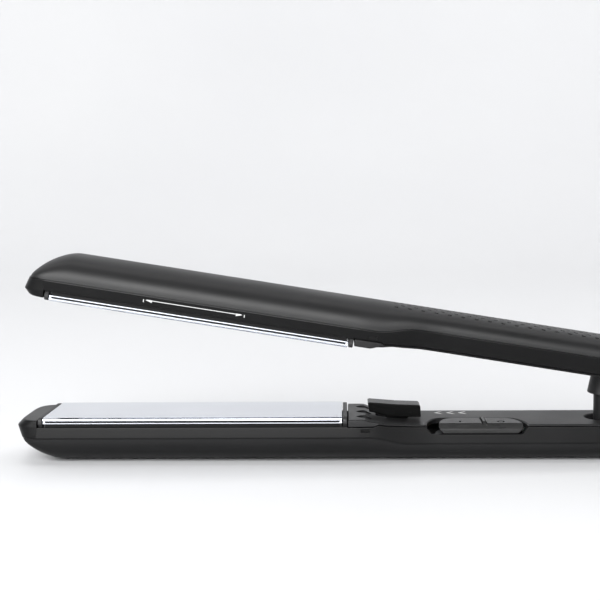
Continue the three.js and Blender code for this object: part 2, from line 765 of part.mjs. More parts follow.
const lowerArm = new THREE.Group();
lowerArm.rotation.x = Math.PI;
lowerArm.add(
  ...armPieces("lower", true),
  named("lower_heater_lead", heaterLead(LOWER_LEAD, 14), wireWhite),
  named("spring_post", springPost(), glossBlack),
  named("power_slider_track", sliderTrack(), heatPlastic),
  named("control_board", controlBoard(), boardGreen),
  named("board_capacitor", capacitor(), capacitorYellow),
  named("power_switch_body", switchBody(), heatPlastic),
  named("triac_heat_sink", triacSink(), aluminium),
  named("contact_brush_holder", brushHolder(), heatPlastic),
  named("power_slider", powerSlider(), switchGrey),
  named("lock_slider", lockSlider(), glossBlack),
  named("cord_gland", cordGland(), softBlack),
  named("contact_sleeve", contactSleeve(), brass),
);

// The upper arm hangs in a group whose origin is the hinge, so that turning the group opens the arm.
const upperArm = new THREE.Group();
upperArm.position.x = -HINGE_U;
upperArm.add(
  ...armPieces("upper", false),
  named("upper_heater_lead", heaterLead(UPPER_LEAD, 24), wireWhite),
  named("spring_cup", springCup(), softBlack),
  named("hinge_pin", hingePin(), steel),
  named("hinge_cap_left", hingeCap(-1), glossBlack),
  named("hinge_cap_right", hingeCap(1), glossBlack),
  named("hinge_washer_left", hingeWasher(-1), wireWhite),
  named("hinge_washer_right", hingeWasher(1), wireWhite),
);
const opening = new THREE.Group();
opening.position.x = HINGE_U;
opening.rotation.y = THREE.MathUtils.degToRad(OPENING_DEG);
opening.add(upperArm);

const flatIron = new THREE.Group();
flatIron.name = "flat_iron";
flatIron.position.set(-CENTRE_U, 0, ARM_HEIGHT);
flatIron.add(lowerArm, opening, named("return_spring", returnSpring(), steel));

export default flatIron;
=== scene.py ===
import json
import math

import bmesh
import bpy
from mathutils import Matrix, Vector


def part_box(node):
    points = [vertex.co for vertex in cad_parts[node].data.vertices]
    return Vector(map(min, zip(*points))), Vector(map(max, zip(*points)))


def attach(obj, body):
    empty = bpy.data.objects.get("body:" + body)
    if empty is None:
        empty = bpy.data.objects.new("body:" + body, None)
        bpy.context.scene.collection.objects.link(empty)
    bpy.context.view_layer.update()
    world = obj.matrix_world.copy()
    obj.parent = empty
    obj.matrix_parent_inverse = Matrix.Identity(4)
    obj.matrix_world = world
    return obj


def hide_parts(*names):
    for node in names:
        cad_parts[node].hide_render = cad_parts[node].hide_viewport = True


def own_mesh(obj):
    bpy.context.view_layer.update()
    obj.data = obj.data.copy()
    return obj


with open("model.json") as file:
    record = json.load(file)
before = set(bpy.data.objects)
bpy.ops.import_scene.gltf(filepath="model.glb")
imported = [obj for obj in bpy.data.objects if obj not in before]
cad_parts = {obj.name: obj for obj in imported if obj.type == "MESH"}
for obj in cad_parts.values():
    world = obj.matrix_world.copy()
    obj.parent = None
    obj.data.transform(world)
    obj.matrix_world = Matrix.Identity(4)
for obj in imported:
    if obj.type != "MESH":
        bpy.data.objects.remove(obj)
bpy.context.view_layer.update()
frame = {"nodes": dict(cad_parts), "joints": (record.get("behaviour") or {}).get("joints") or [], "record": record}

# ----------------------------------------
# Frame of each arm. Shapes are drawn in millimetres in the arm's own frame (u, v, w): u from the
# plate's nose end towards the hinge, v across, w outwards from the plane where the plates meet.
# arm.place puts them in the row frame.
MM = 0.001
joints = {joint["name"]: joint for joint in frame["joints"]}
hinge = Vector(joints["arm_hinge"]["pos_m"])
float_axis = joints["upper_plate_slide"]["axis"]
OPENING = math.atan2(float_axis[0], float_axis[2])
plate_low, plate_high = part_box("lower_plate")
PLATE_LENGTH = (plate_high.x - plate_low.x) / MM
PLATE_HALF = (plate_high.y - plate_low.y) / 2 / MM
HINGE_U = (hinge.x - plate_low.x) / MM
ARM_HEIGHT = hinge.z / MM


def u_of(x):
    return (x - plate_low.x) / MM


shell_low, shell_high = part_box("lower_outer_shell")
gland_low, gland_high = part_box("cord_gland")
housing_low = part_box("lower_inner_housing")[0]
HALF_PLATES = (shell_high.y - shell_low.y) / 2 / MM
NOSE_U = u_of(housing_low.x)
TAIL_U = u_of(shell_high.x)
GLAND_END_U = u_of(gland_high.x)
GLAND_W = (hinge.z - (gland_low.z + gland_high.z) / 2) / MM


class Arm:
    """An arm's frame and bodies. near is the sign of v on the side of the power slider."""

    def __init__(self, name, place, near):
        self.name = name
        self.place = place
        self.body = name + "_arm"
        self.plate_body = name + "_plate_float"
        self.near = near


scale = Matrix.Scale(MM, 4)
lower_place = Matrix.Translation((plate_low.x, 0, hinge.z)) @ Matrix.Rotation(math.pi, 4, "X") @ scale
upper_turn = Matrix.Translation(hinge) @ Matrix.Rotation(OPENING, 4, "Y")
upper_place = upper_turn @ Matrix.Translation((-HINGE_U * MM, 0, 0)) @ scale
LOWER = Arm("lower", lower_place, 1)
UPPER = Arm("upper", upper_place, -1)

# ----------------------------------------
# Materials: each one is a procedural node tree in object coordinates (metres), whose noise is taken
# between the two values of NOISE_RANGE.
NOISE_RANGE = (0.3, 0.7)


class Finish:
    """A node tree around one Principled shader, with helpers for the patterns that the finishes share."""

    def __init__(self, name, roughness=0.5, metallic=0.0, **sockets):
        self.material = bpy.data.materials.new(name)
        self.material.use_nodes = True
        self.tree = self.material.node_tree
        self.shader = self.tree.nodes["Principled BSDF"]
        self.fill(self.shader, Roughness=roughness, Metallic=metallic, **sockets)
        self.position = self.add("ShaderNodeTexCoord").outputs["Object"]

    def fill(self, node, **sockets):
        for socket, value in sockets.items():
            node.inputs[socket.replace("_", " ")].default_value = value
        return node

    def add(self, kind, **sockets):
        return self.fill(self.tree.nodes.new(kind), **sockets)

    def link(self, output, node, socket):
        self.tree.links.new(output, node.inputs[socket])

    def noise(self, scale, detail=3.0, stretch=None):
        node = self.add("ShaderNodeTexNoise", Scale=scale, Detail=detail)
        source = self.position
        if stretch:
            mapping = self.add("ShaderNodeMapping", Scale=stretch)
            self.link(self.position, mapping, "Vector")
            source = mapping.outputs["Vector"]
        self.link(source, node, "Vector")
        return node.outputs["Fac"]

    def colour(self, value, dark, light):
        ramp = self.add("ShaderNodeValToRGB")
        for element, place, shade in zip(ramp.color_ramp.elements, NOISE_RANGE, (dark, light)):
            element.position = place
            element.color = (*shade, 1)
        self.link(value, ramp, "Fac")
        self.link(ramp.outputs["Color"], self.shader, "Base Color")

    def rough(self, value, low, high):
        node = self.add("ShaderNodeMapRange", To_Min=low, To_Max=high)
        self.fill(node, From_Min=NOISE_RANGE[0], From_Max=NOISE_RANGE[1])
        self.link(value, node, "Value")
        self.link(node.outputs["Result"], self.shader, "Roughness")

    def bump(self, value, depth_mm):
        node = self.add("ShaderNodeBump", Distance=depth_mm * MM)
        self.link(value, node, "Height")
        normal = self.shader.inputs["Normal"]
        if normal.is_linked:
            self.link(normal.links[0].from_socket, node, "Normal")
        self.link(node.outputs["Normal"], self.shader, "Normal")


def grey(level, blue=1.0):
    return (level, level, level * blue)


def moulded(name, level, rough, specular, grain_mm, scale=4200):
    """Moulded plastic: slight changes of shade and gloss over a fine grain."""
    finish = Finish(name, Specular_IOR_Level=specular)
    patches = finish.noise(34, 4)
    finish.colour(patches, grey(level * 0.85, 1.04), grey(level * 1.15, 1.04))
    finish.rough(patches, rough * 0.9, rough * 1.1)
    finish.bump(finish.noise(scale, 2), grain_mm)
    return finish.material


def glossy(name, level, rough, specular):
    """Polished plastic with faint rubbed streaks."""
    finish = Finish(name, Specular_IOR_Level=specular)
    scuffs = finish.noise(220, 6, (1, 6, 6))
    finish.colour(scuffs, grey(level * 0.85), grey(level * 1.15))
    finish.rough(scuffs, rough * 0.8, rough * 1.4)
    finish.bump(finish.noise(900, 3), 0.0006)
    return finish.material


def mirror_plate():
    finish = Finish("mirror_plate", 0.09, 1.0)
    polish = finish.noise(5200, 4, (0.015, 1, 1))
    finish.colour(finish.noise(30, 3), (0.66, 0.685, 0.74), (0.71, 0.735, 0.79))
    finish.rough(polish, 0.05, 0.1)
    finish.bump(polish, 0.00002)
    return finish.material


def metal(name, dark, light, rough_low, rough_high, stretch=(1, 1, 1)):
    finish = Finish(name, metallic=1.0)
    grain = finish.noise(900, 5, stretch)
    finish.colour(grain, dark, light)
    finish.rough(grain, rough_low, rough_high)
    finish.bump(grain, 0.002)
    return finish.material


def tinted(name, dark, light, rough_low, rough_high, scale=260, grain=0.004):
    finish = Finish(name)
    patches = finish.noise(scale, 5)
    finish.colour(patches, dark, light)
    finish.rough(patches, rough_low, rough_high)
    finish.bump(finish.noise(3000, 2), grain)
    return finish.material


def studio_floor():
    finish = Finish("studio_floor", 0.55)
    cloud = finish.noise(1.6, 3)
    finish.colour(cloud, (0.5, 0.503, 0.512), (0.52, 0.523, 0.53))
    finish.rough(cloud, 0.5, 0.6)
    return finish.material


FINISHES = {
    "soft_shell": moulded("soft_touch_black", 0.006, 0.45, 0.28, 0.006, 5200),
    # A shaded copy of the soft-touch finish for the lower shell: weaker, rougher reflections paint shade on the
    # lower arm.
    "soft_shell_shaded": moulded("soft_touch_shaded", 0.006, 0.5, 0.14, 0.006, 5200),
    "housing": moulded("housing_black", 0.003, 0.34, 0.12, 0.002),
    "cover": moulded("cover_black", 0.009, 0.42, 0.22, 0.006),
    "satin_black": moulded("satin_black", 0.006, 0.36, 0.22, 0.003),
    "gloss_black": glossy("gloss_black", 0.001, 0.2, 0.06),
    "switch_grey": glossy("switch_grey", 0.018, 0.3, 0.12),
    "plate_finish": mirror_plate(),
    "heat_plastic": moulded("heat_plastic", 0.018, 0.5, 0.26, 0.008, 2400),
    "silicone": tinted("silicone", (0.42, 0.07, 0.05), (0.5, 0.1, 0.07), 0.55, 0.7),
    "heater_ceramic": tinted("heater_ceramic", (0.7, 0.68, 0.62), (0.82, 0.8, 0.75), 0.5, 0.7, 600, 0.008),
    "sensor_glass": tinted("sensor_glass", (0.35, 0.18, 0.05), (0.5, 0.3, 0.1), 0.1, 0.2),
    "board": tinted("board", (0.012, 0.09, 0.035), (0.02, 0.13, 0.05), 0.3, 0.45, 500),
    "capacitor_case": tinted("capacitor_case", (0.5, 0.36, 0.04), (0.6, 0.45, 0.07), 0.3, 0.45),
    "aluminium": metal("aluminium", (0.6, 0.61, 0.63), (0.75, 0.76, 0.78), 0.3, 0.45, (0.1, 1, 1)),
    "steel": metal("steel", (0.5, 0.51, 0.52), (0.64, 0.65, 0.66), 0.22, 0.36, (1, 0.2, 1)),
    "brass": metal("brass", (0.55, 0.4, 0.14), (0.68, 0.52, 0.22), 0.22, 0.36),
    "washer_nylon": tinted("washer_nylon", (0.68, 0.66, 0.6), (0.76, 0.74, 0.69), 0.4, 0.55),
    "lead_sleeve": tinted("lead_sleeve", (0.66, 0.64, 0.58), (0.75, 0.73, 0.68), 0.5, 0.65),
    "print": tinted("print_ink", (0.4, 0.4, 0.4), (0.48, 0.48, 0.48), 0.45, 0.6, 1500),
}
for entry in frame["record"]["subparts"]:
    node = frame["nodes"][entry["node"]]
    node.data.materials.clear()
    node.data.materials.append(FINISHES[entry["material_slot"]])

# ----------------------------------------
# Mesh building. Lengths are in millimetres until finish_piece puts a piece into the row frame.
SMOOTH_ANGLE = math.radians(32)
WELD, AXIS_WELD = 1e-6, 1e-5
SLIVER = 0.001


def smooth_step(low, high, value):
    t = min(max((value - low) / (high - low), 0), 1)
    return t * t * (3 - 2 * t)


def mix(a, b, t):
    return a + (b - a) * t


def span(low, high, steps):
    return [mix(low, high, k / steps) for k in range(steps + 1)]


def mirrored(side):
    """A half outline and its mirror image across the first coordinate, walked round once."""
    return side + [(-a, b) for a, b in reversed(side)]


def arc(centre, radius, start, end, steps):
    """Points of an arc, angles in degrees, 0 along the first axis."""
    angles = [math.radians(angle) for angle in span(start, end, steps)]
    return [(centre[0] + radius * math.cos(a), centre[1] + radius * math.sin(a)) for a in angles]


def skin(rows, caps=True):
    """Vertices and faces of a surface through rows of equally many points, each row a closed ring."""
    count = len(rows[0])
    vertices = [point for row in rows for point in row]
    faces = []
    for r in range(len(rows) - 1):
        for k in range(count):
            a, b = r * count + k, r * count + (k + 1) % count
            faces.append((a, b, b + count, a + count))
    if caps:
        faces.append(tuple(range(count)))
        faces.append(tuple(range((len(rows) - 1) * count, len(rows) * count)))
    return vertices, faces


def weld(mesh, distance):
    """Merges the points that lie this close together and turns all faces outwards."""
    work = bmesh.new()
    work.from_mesh(mesh)
    bmesh.ops.remove_doubles(work, verts=work.verts, dist=distance)
    bmesh.ops.recalc_face_normals(work, faces=work.faces)
    work.to_mesh(mesh)
    work.free()


def raw_piece(name, vertices, faces):
    mesh = bpy.data.meshes.new(name)
    mesh.from_pydata([Vector(v) for v in vertices], [], faces)
    weld(mesh, WELD)
    piece = bpy.data.objects.new(name, mesh)
    bpy.context.scene.collection.objects.link(piece)
    return piece


def bake(piece):
    """Turns the piece's modifiers into plain mesh."""
    graph = bpy.context.evaluated_depsgraph_get()
    mesh = bpy.data.meshes.new_from_object(piece.evaluated_get(graph))
    piece.modifiers.clear()
    piece.data = mesh


def combine(piece, tools, operation="DIFFERENCE"):
    """Cuts the tools out of the piece, or joins them to it, one after another, and removes them."""
    for tool in tools:
        modifier = piece.modifiers.new("combine", "BOOLEAN")
        modifier.operation = operation
        modifier.solver = "MANIFOLD"
        modifier.object = tool
        bake(piece)
    for tool in tools:
        bpy.data.objects.remove(tool)
    return piece


def finish_piece(piece, arm, slot, body, replaced=(), look=None):
    """Puts a piece drawn in an arm's frame into the row frame, with its look and its body; the look is the slot's
    finish unless another is given.
    """
    work = bmesh.new()
    work.from_mesh(piece.data)
    bmesh.ops.dissolve_degenerate(work, dist=SLIVER, edges=work.edges)
    work.to_mesh(piece.data)
    work.free()
    piece.data.transform(arm.place)
    piece.data.materials.clear()
    piece.data.materials.append(FINISHES[look or slot])
    for polygon in piece.data.polygons:
        polygon.use_smooth = True
    piece.data.set_sharp_from_angle(angle=SMOOTH_ANGLE)
    modifier = piece.modifiers.new("even_shading", "WEIGHTED_NORMAL")
    modifier.keep_sharp = True
    bake(piece)
    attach(piece, body)
    if replaced:
        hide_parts(*replaced)
    return piece


def loft_piece(name, rows, caps=True):
    return raw_piece(name, *skin(rows, caps))


def prism(name, outline, low, high, axis="w"):
    """An outline extruded along one axis: (u, v) along w, (v, w) along u, or (u, w) along v."""
    point = {
        "w": lambda a, b, at: (a, b, at),
        "u": lambda a, b, at: (at, a, b),
        "v": lambda a, b, at: (a, at, b),
    }[axis]
    rows = [[point(a, b, at) for a, b in outline] for at in (low, high)]
    return loft_piece(name, rows)


def block(name, u_span, v_span, w_span):
    (u0, u1), (v0, v1) = u_span, sorted(v_span)
    return prism(name, [(u0, v0), (u1, v0), (u1, v1), (u0, v1)], *w_span)


def disc(name, radius, low, high, centre, axis, sides=64):
    outline = arc(centre, radius, 0, 360 * (1 - 1 / sides), sides - 1)
    low, high = sorted((low, high))
    return prism(name, outline, low, high, axis)


def turned(name, profile, centre, axis, sides=72):
    """A closed profile of (radius, place on the axis) turned about an axis along u, v or w."""
    rows = []
    for k in range(sides):
        angle = 2 * math.pi * k / sides
        across, up = math.cos(angle), math.sin(angle)
        row = []
        for radius, at in profile:
            a, b = centre[0] + radius * across, centre[1] + radius * up
            row.append({"u": (at, a, b), "v": (a, at, b), "w": (a, b, at)}[axis])
        rows.append(row)
    piece = loft_piece(name, rows + [rows[0]], caps=False)
    weld(piece.data, AXIS_WELD)
    return piece


def joined_lofts(name, lofts):
    """Several closed lofts side by side in one mesh."""
    vertices, faces = [], []
    for rows in lofts:
        points, loft_faces = skin(rows)
        faces += [tuple(len(vertices) + i for i in face) for face in loft_faces]
        vertices += points
    return raw_piece(name, vertices, faces)


def ink(name, shapes, point):
    """Printed shapes, sunk a little into the surface. point(a, b, lift) places a corner."""
    lofts = []
    for shape in shapes:
        lofts.append([[point(a, b, lift) for a, b in shape] for lift in (INK_SUNK, INK_PROUD)])
    return joined_lofts(name, lofts)


def rounded_profile(corners, radius, steps=4):
    """A closed outline with rounded corners. A corner may carry its own radius as a third number."""
    outline = []
    for k, corner in enumerate(corners):
        before, here, after = (Vector(corners[i][:2]) for i in (k - 1, k, (k + 1) % len(corners)))
        own = corner[2] if len(corner) > 2 else radius
        to_before, to_after = (before - here), (after - here)
        reach = min(own, to_before.length * 0.49, to_after.length * 0.49)
        if reach < 1e-6:
            outline.append(tuple(here))
            continue
        start = here + to_before.normalized() * reach
        end = here + to_after.normalized() * reach
        for t in span(0, 1, steps):
            point = start * (1 - t) ** 2 + here * 2 * t * (1 - t) + end * t * t
            outline.append(tuple(point))
    return outline


def inset_outline(outline, distance):
    """The outline moved inwards, given anticlockwise."""
    moved = []
    for before, here, after in zip(outline[-1:] + outline[:-1], outline, outline[1:] + outline[:1]):
        along = (Vector(after) - Vector(before)).normalized()
        moved.append((here[0] - along.y * distance, here[1] + along.x * distance))
    return moved


def box_outline(u0, u1, half):
    return [(u0, -half), (u1, -half), (u1, half), (u0, half)]


def round_ends(low, high, radius):
    """(position, inset) pairs that round both ends of an extrusion."""
    turns = span(0, math.pi / 2, 4)
    ends = [(radius * (1 - math.sin(a)), radius * (1 - math.cos(a))) for a in turns]
    start = [(low + depth, inset) for depth, inset in reversed(ends)]
    return start + [(high - depth, inset) for depth, inset in ends]


def rounded_pad(name, u_span, half, w_span, edge, corner):
    """A flat pad with rounded corners and with its upper and lower edges rounded too."""
    u0, u1 = u_span
    rows = []
    for w, inset in round_ends(*w_span, edge):
        outline = rounded_profile(box_outline(u0 + inset, u1 - inset, half - inset), corner, 5)
        rows.append([(u, v, w) for u, v in outline])
    return loft_piece(name, rows)


# ----------------------------------------
# The arm's form, the same as the CAD's, as functions of u (millimetres)
GAP = 0.3
PLATE_ROOM_END_U = 112
SEAM_GAP = 0.04
SEAM_STEP = 0.2
LOWER_SEAM_STEP = 0.02
HALF_HANDLE = 14.9
SEAM_PLATES, SEAM_HANDLE = 7.66, 10.33
SEAM_WAVE = (119.5, 134.5)
WAIST = (PLATE_ROOM_END_U, 145)
SHELL_WALL = 1.8
WALL_PLATES, WALL_HANDLE = 1.4, 2
WALL_CHANGE = (PLATE_ROOM_END_U, 125)
SHELL_TIP_U = -9.1
CROWN_FULL_U = 5.7
NOSE_FULL_U = 1
TAIL_ROUND = 7
TAIL_FLAT = 1.5
CROWN_POWER = 0.833
CROWN_STEPS = 20
RIM_PLATES = 3.6
RIM_TAIL, RIM_TAIL_U = 3.3, 277.2
RIM_DRAFT = 0.5
COVER_START_U, COVER_END_U = 112.3, 257
COVER_FACE = 3.3
COVER_FRONT_FACE = 0.95
COVER_RISES = ((1.8, 118, 121), (2.75, 120.5, 127), (COVER_FACE, 126, 138))
COVER_FRONT_EDGE = 3.55
COVER_EDGE_DEPTH = 0.55
COVER_EDGE_CHANGE = (121.5, 124)


def seam(u):
    return mix(SEAM_PLATES, SEAM_HANDLE, smooth_step(*SEAM_WAVE, u))


def seam_step(arm):
    """How far the seam's edges draw in; on the lower arm the shell lies flush."""
    return SEAM_STEP if arm is UPPER else LOWER_SEAM_STEP


def straight_half(u):
    return mix(HALF_PLATES, HALF_HANDLE, smooth_step(*WAIST, u))


def nose_share(u, tip):
    x = min(max((NOSE_FULL_U - u) / (NOSE_FULL_U - tip), 0), 1)
    return (1 - x**3) ** 0.2


def crown_share(u, tip):
    x = min(max((CROWN_FULL_U - u) / (CROWN_FULL_U - tip), 0), 1)
    return (1 - x**1.7) ** 0.75


def tail_shares(x):
    """How much of the half-width and of the crown's rise is left, from x = 0 to 1 (closed)."""
    return (1 - x**3) ** 0.5, (1 - x**2) ** 0.5


def tail_places(steps_round, steps_wall, wall_u):
    """(u, x) down the tail's curve and then across its flat end wall."""
    start = TAIL_U - TAIL_ROUND
    edge = TAIL_ROUND / (TAIL_ROUND + TAIL_FLAT)
    curve = [(mix(start, wall_u, t), mix(0, edge, t)) for t in span(0, 1, steps_round)[1:]]
    wall = [(wall_u, mix(edge, 0.995, t)) for t in span(0, 1, steps_wall)[1:]]
    return curve + wall


def arm_places():
    """u between the nose's curve and the tail's curve, closer together where the form changes."""
    plates = span(CROWN_FULL_U, WAIST[0], 26)
    waist = span(*WAIST, 30)[1:]
    handle = span(WAIST[1], TAIL_U - TAIL_ROUND, 46)[1:]
    return plates + waist + handle


def crown(half, base, top, lip):
    """The crown's curve from one seam edge to the other, with a small chamfer of size lip."""
    side = [(half - lip, base)] if lip else []
    base += lip
    for angle in span(0, math.pi / 2, CROWN_STEPS):
        rise = math.sin(angle) ** CROWN_POWER
        side.append((half * math.cos(angle) ** CROWN_POWER, mix(base, top, rise)))
    return side + [(-v, w) for v, w in reversed(side[:-1])]


# ----------------------------------------
# Outer shell with grip dimples. Over the handle, crown_height gives the shell's height at v.
NOSE_ROWS = 26
SHELL_LIP = 0.1
GLAND_BORE, GLAND_POCKET = 5.3, 6.1
DIMPLE_START_U, DIMPLE_PITCH, DIMPLE_COLUMNS = 125.7, 2.47, 44
DIMPLE_RADIUS, DIMPLE_SIDES = 0.8, 16
DIMPLE_ROWS = ((-8.4, -3.0, 3.0, 8.4), (-5.8, 0.0, 5.8))


def shell_rows(step, arm_offset):
    """Rows of the outer surface (offset 0) or of the inner surface (offset by the wall)."""
    tip = SHELL_TIP_U + arm_offset
    top_height = ARM_HEIGHT - arm_offset
    lip = 0.0 if arm_offset else SHELL_LIP
    inset = arm_offset + step
    rows = []

    def add(u, half, top):
        points = crown(half, seam(u) + SEAM_GAP / 2, top, lip)
        rows.append([(u, v, w) for v, w in points])

    for k in range(NOSE_ROWS):
        u = mix(tip, CROWN_FULL_U, (0.02 + 0.98 * k / NOSE_ROWS) ** 1.7)
        half = straight_half(u) * nose_share(u, tip) - inset
        add(u, half, mix(seam(u) + GAP, top_height, crown_share(u, tip)))
    for u in arm_places():
        add(u, straight_half(u) - inset, top_height)
    wall_u = TAIL_U - arm_offset
    for u, x in tail_places(8, 6, wall_u):
        width, rise = tail_shares(x)
        add(u, (straight_half(u) - inset) * width, mix(seam(u) + GAP, top_height, rise))
    return rows


def shell_mesh(step):
    """A closed thin shell: outer and inner surfaces joined all round their edge."""
    outer, inner = shell_rows(step, 0), shell_rows(step, SHELL_WALL)
    columns = len(inner[0])
    inner = [[row[0]] + row + [row[-1]] for row in inner]
    count = columns + 2
    vertices = [p for row in outer for p in row] + [p for row in inner for p in row]
    total = len(outer) * count
    faces = []
    for r in range(len(outer) - 1):
        for k in range(count - 1):
            a = r * count + k
            quad = (a, a + 1, a + 1 + count, a + count)
            faces.append(quad)
            faces.append(tuple(total + i for i in reversed(quad)))
    last = (len(outer) - 1) * count
    rim = list(range(count))
    rim += [r * count + count - 1 for r in range(1, len(outer))]
    rim += [last + k for k in range(count - 2, -1, -1)]
    rim += [r * count for r in range(len(outer) - 2, 0, -1)]
    for a, b in zip(rim, rim[1:] + rim[:1]):
        faces.append((a, total + a, total + b, b))
    return vertices, faces


def dimple_field(name, profile):
    """One turned shape per grip dimple in one mesh. A profile is (radius, height above the crown)."""
    along = Vector((1, 0, 0))
    turns = [2 * math.pi * k / DIMPLE_SIDES for k in range(DIMPLE_SIDES)]
    lofts = []
    for column in range(DIMPLE_COLUMNS):
        u = DIMPLE_START_U + DIMPLE_PITCH * column
        half, base = straight_half(u) - SEAM_STEP, seam(u) + SEAM_GAP / 2
        for v in DIMPLE_ROWS[column % 2]:
            ends = [Vector((u, at, crown_height(at, half, base))) for at in (v - 0.1, v + 0.1)]
            centre, across = (ends[0] + ends[1]) / 2, (ends[1] - ends[0]).normalized()
            normal = along.cross(across)
            ring = [along * math.cos(turn) + across * math.sin(turn) for turn in turns]
            rows = []
            for radius, height in profile:
                rows.append([centre + out * radius + normal * height for out in ring])
            lofts.append(rows)
    return joined_lofts(name, lofts)


def crown_height(v, half, base):
    share = min(abs(v) / half, 1)
    return mix(base, ARM_HEIGHT, (1 - share ** (2 / CROWN_POWER)) ** (CROWN_POWER / 2))


def grip_dimple_shade(arm):
    """Dark discs at the bottoms of the grip dimples: painted shade in the hollows."""
    r = DIMPLE_RADIUS - 0.02
    profile = [(r, -0.9), (r, -0.16), (r * 0.85, -0.08), (r * 0.4, -0.05)]
    shade_discs = dimple_field(arm.name + "_grip_dimple_shade", profile)
    return finish_piece(shade_discs, arm, "housing", arm.body, look="gloss_black")


def outer_shell(arm):
    piece = raw_piece(arm.name + "_shell", *shell_mesh(seam_step(arm)))
    r = DIMPLE_RADIUS
    drill = [(r * 0.9, -1), (r, -0.9), (r, -0.04), (r * 1.1, 0.1), (r * 1.1, 0.5)]
    tools = [dimple_field("drills", drill)]
    if arm is LOWER:
        tools += gland_tools()
    combine(piece, tools)
    # The lower arm takes the shaded copy of the soft-touch finish, painted shade.
    look = "soft_shell" if arm is UPPER else "soft_shell_shaded"
    return finish_piece(piece, arm, "soft_shell", arm.body, [arm.name + "_outer_shell"], look)


def gland_tools():
    """The gland's bore through the tail's end wall and the wider pocket for its inner flange."""
    centre = (0, GLAND_W)
    through = disc("through", GLAND_BORE, 280, 290, centre, "u")
    return [through, disc("pocket", GLAND_POCKET, 278, 282.5, centre, "u")]


# ----------------------------------------
# Inner housing: side walls, bumper, hinge barrel or ears. A bumper level is (w, tip's u, half-width).
BUMPER_BACK_U = -2.2
BUMPER_LEVELS = [
    (0.9, -8.5, 16.6), (1.3, -9.2, 16.8), (3.1, NOSE_U, 17.0), (3.3, NOSE_U, 17.05),
    (5.4, -10.3, 17.25), (SEAM_PLATES - SEAM_GAP / 2, -9.5, 17.5),
]
BUMPER_BEARINGS = (18, 30, 40, 49, 57, 64, 70, 75, 79, 82.5, 85.5, 88)
EDGE_ROUND = 0.3
SNAP_SLOT_U, SNAP_SLOT_V, SNAP_SLOT_W = (116.8, 120.1), (15.9, 20), (4.3, 5.6)
BARREL_RADIUS = 8.5
BARREL_HALF = 7
EAR_SPAN = (8.2, 14.4)
EAR_ROOM_RADIUS = 8.9
RISER_END_U = 271.5
PIN_BORE, PIN_COUNTERBORE = 2.3, 5.6


def cover_face(u):
    """Height of the handle cover's face, which falls back from its front edge in soft steps."""
    face = COVER_FRONT_FACE
    for level, start, end in COVER_RISES:
        face = mix(face, level, smooth_step(start, end, u))
    return face


def cover_edge(u):
    """Height of the cover's side edges, where it meets the housing's walls."""
    return mix(COVER_FRONT_EDGE, cover_face(u) + COVER_EDGE_DEPTH, smooth_step(*COVER_EDGE_CHANGE, u))


def rim(u):
    """Height of the housing's rim, below the plates, around the cover and at the tail."""
    if u < PLATE_ROOM_END_U:
        return RIM_PLATES
    return RIM_TAIL if u > RIM_TAIL_U else cover_edge(u) + GAP


def wall_thickness(u):
    return mix(WALL_PLATES, WALL_HANDLE, smooth_step(*WALL_CHANGE, u))


def level_at(w):
    """The bumper's tip and half-width at height w, between its levels."""
    for (w0, tip0, half0), (w1, tip1, half1) in zip(BUMPER_LEVELS, BUMPER_LEVELS[1:]):
        if w <= w1:
            t = (w - w0) / (w1 - w0)
            return mix(tip0, tip1, t), mix(half0, half1, t)
    return BUMPER_LEVELS[-1][1:]


def bumper_outline(tip, half, inset):
    side = [(BUMPER_BACK_U, half * 0.995 - inset)]
    for degrees in BUMPER_BEARINGS:
        angle = math.radians(degrees)
        u = mix(NOSE_FULL_U, tip + inset, math.sin(angle) ** (2 / 3))
        side.append((u, (half - inset) * math.cos(angle) ** 0.4))
    return side + [(u, -v) for u, v in reversed(side)]


def bumper():
    low, high = BUMPER_LEVELS[0][0], BUMPER_LEVELS[-1][0]
    heights = []
    for angle in span(math.pi / 2, 0, 4):
        w = low + EDGE_ROUND * (1 - math.sin(angle))
        heights.append((w, EDGE_ROUND * (1 - math.cos(angle))))
    heights += [(w, 0.0) for w in span(low + EDGE_ROUND, high - 0.2, 24)[1:]]
    heights += [(high - 0.06, 0.06), (high, 0.2)]
    sections = []
    for w, inset in heights:
        tip, half = level_at(w)
        sections.append([(u, v, w) for u, v in bumper_outline(tip, half, inset)])
    return loft_piece("bumper", sections)


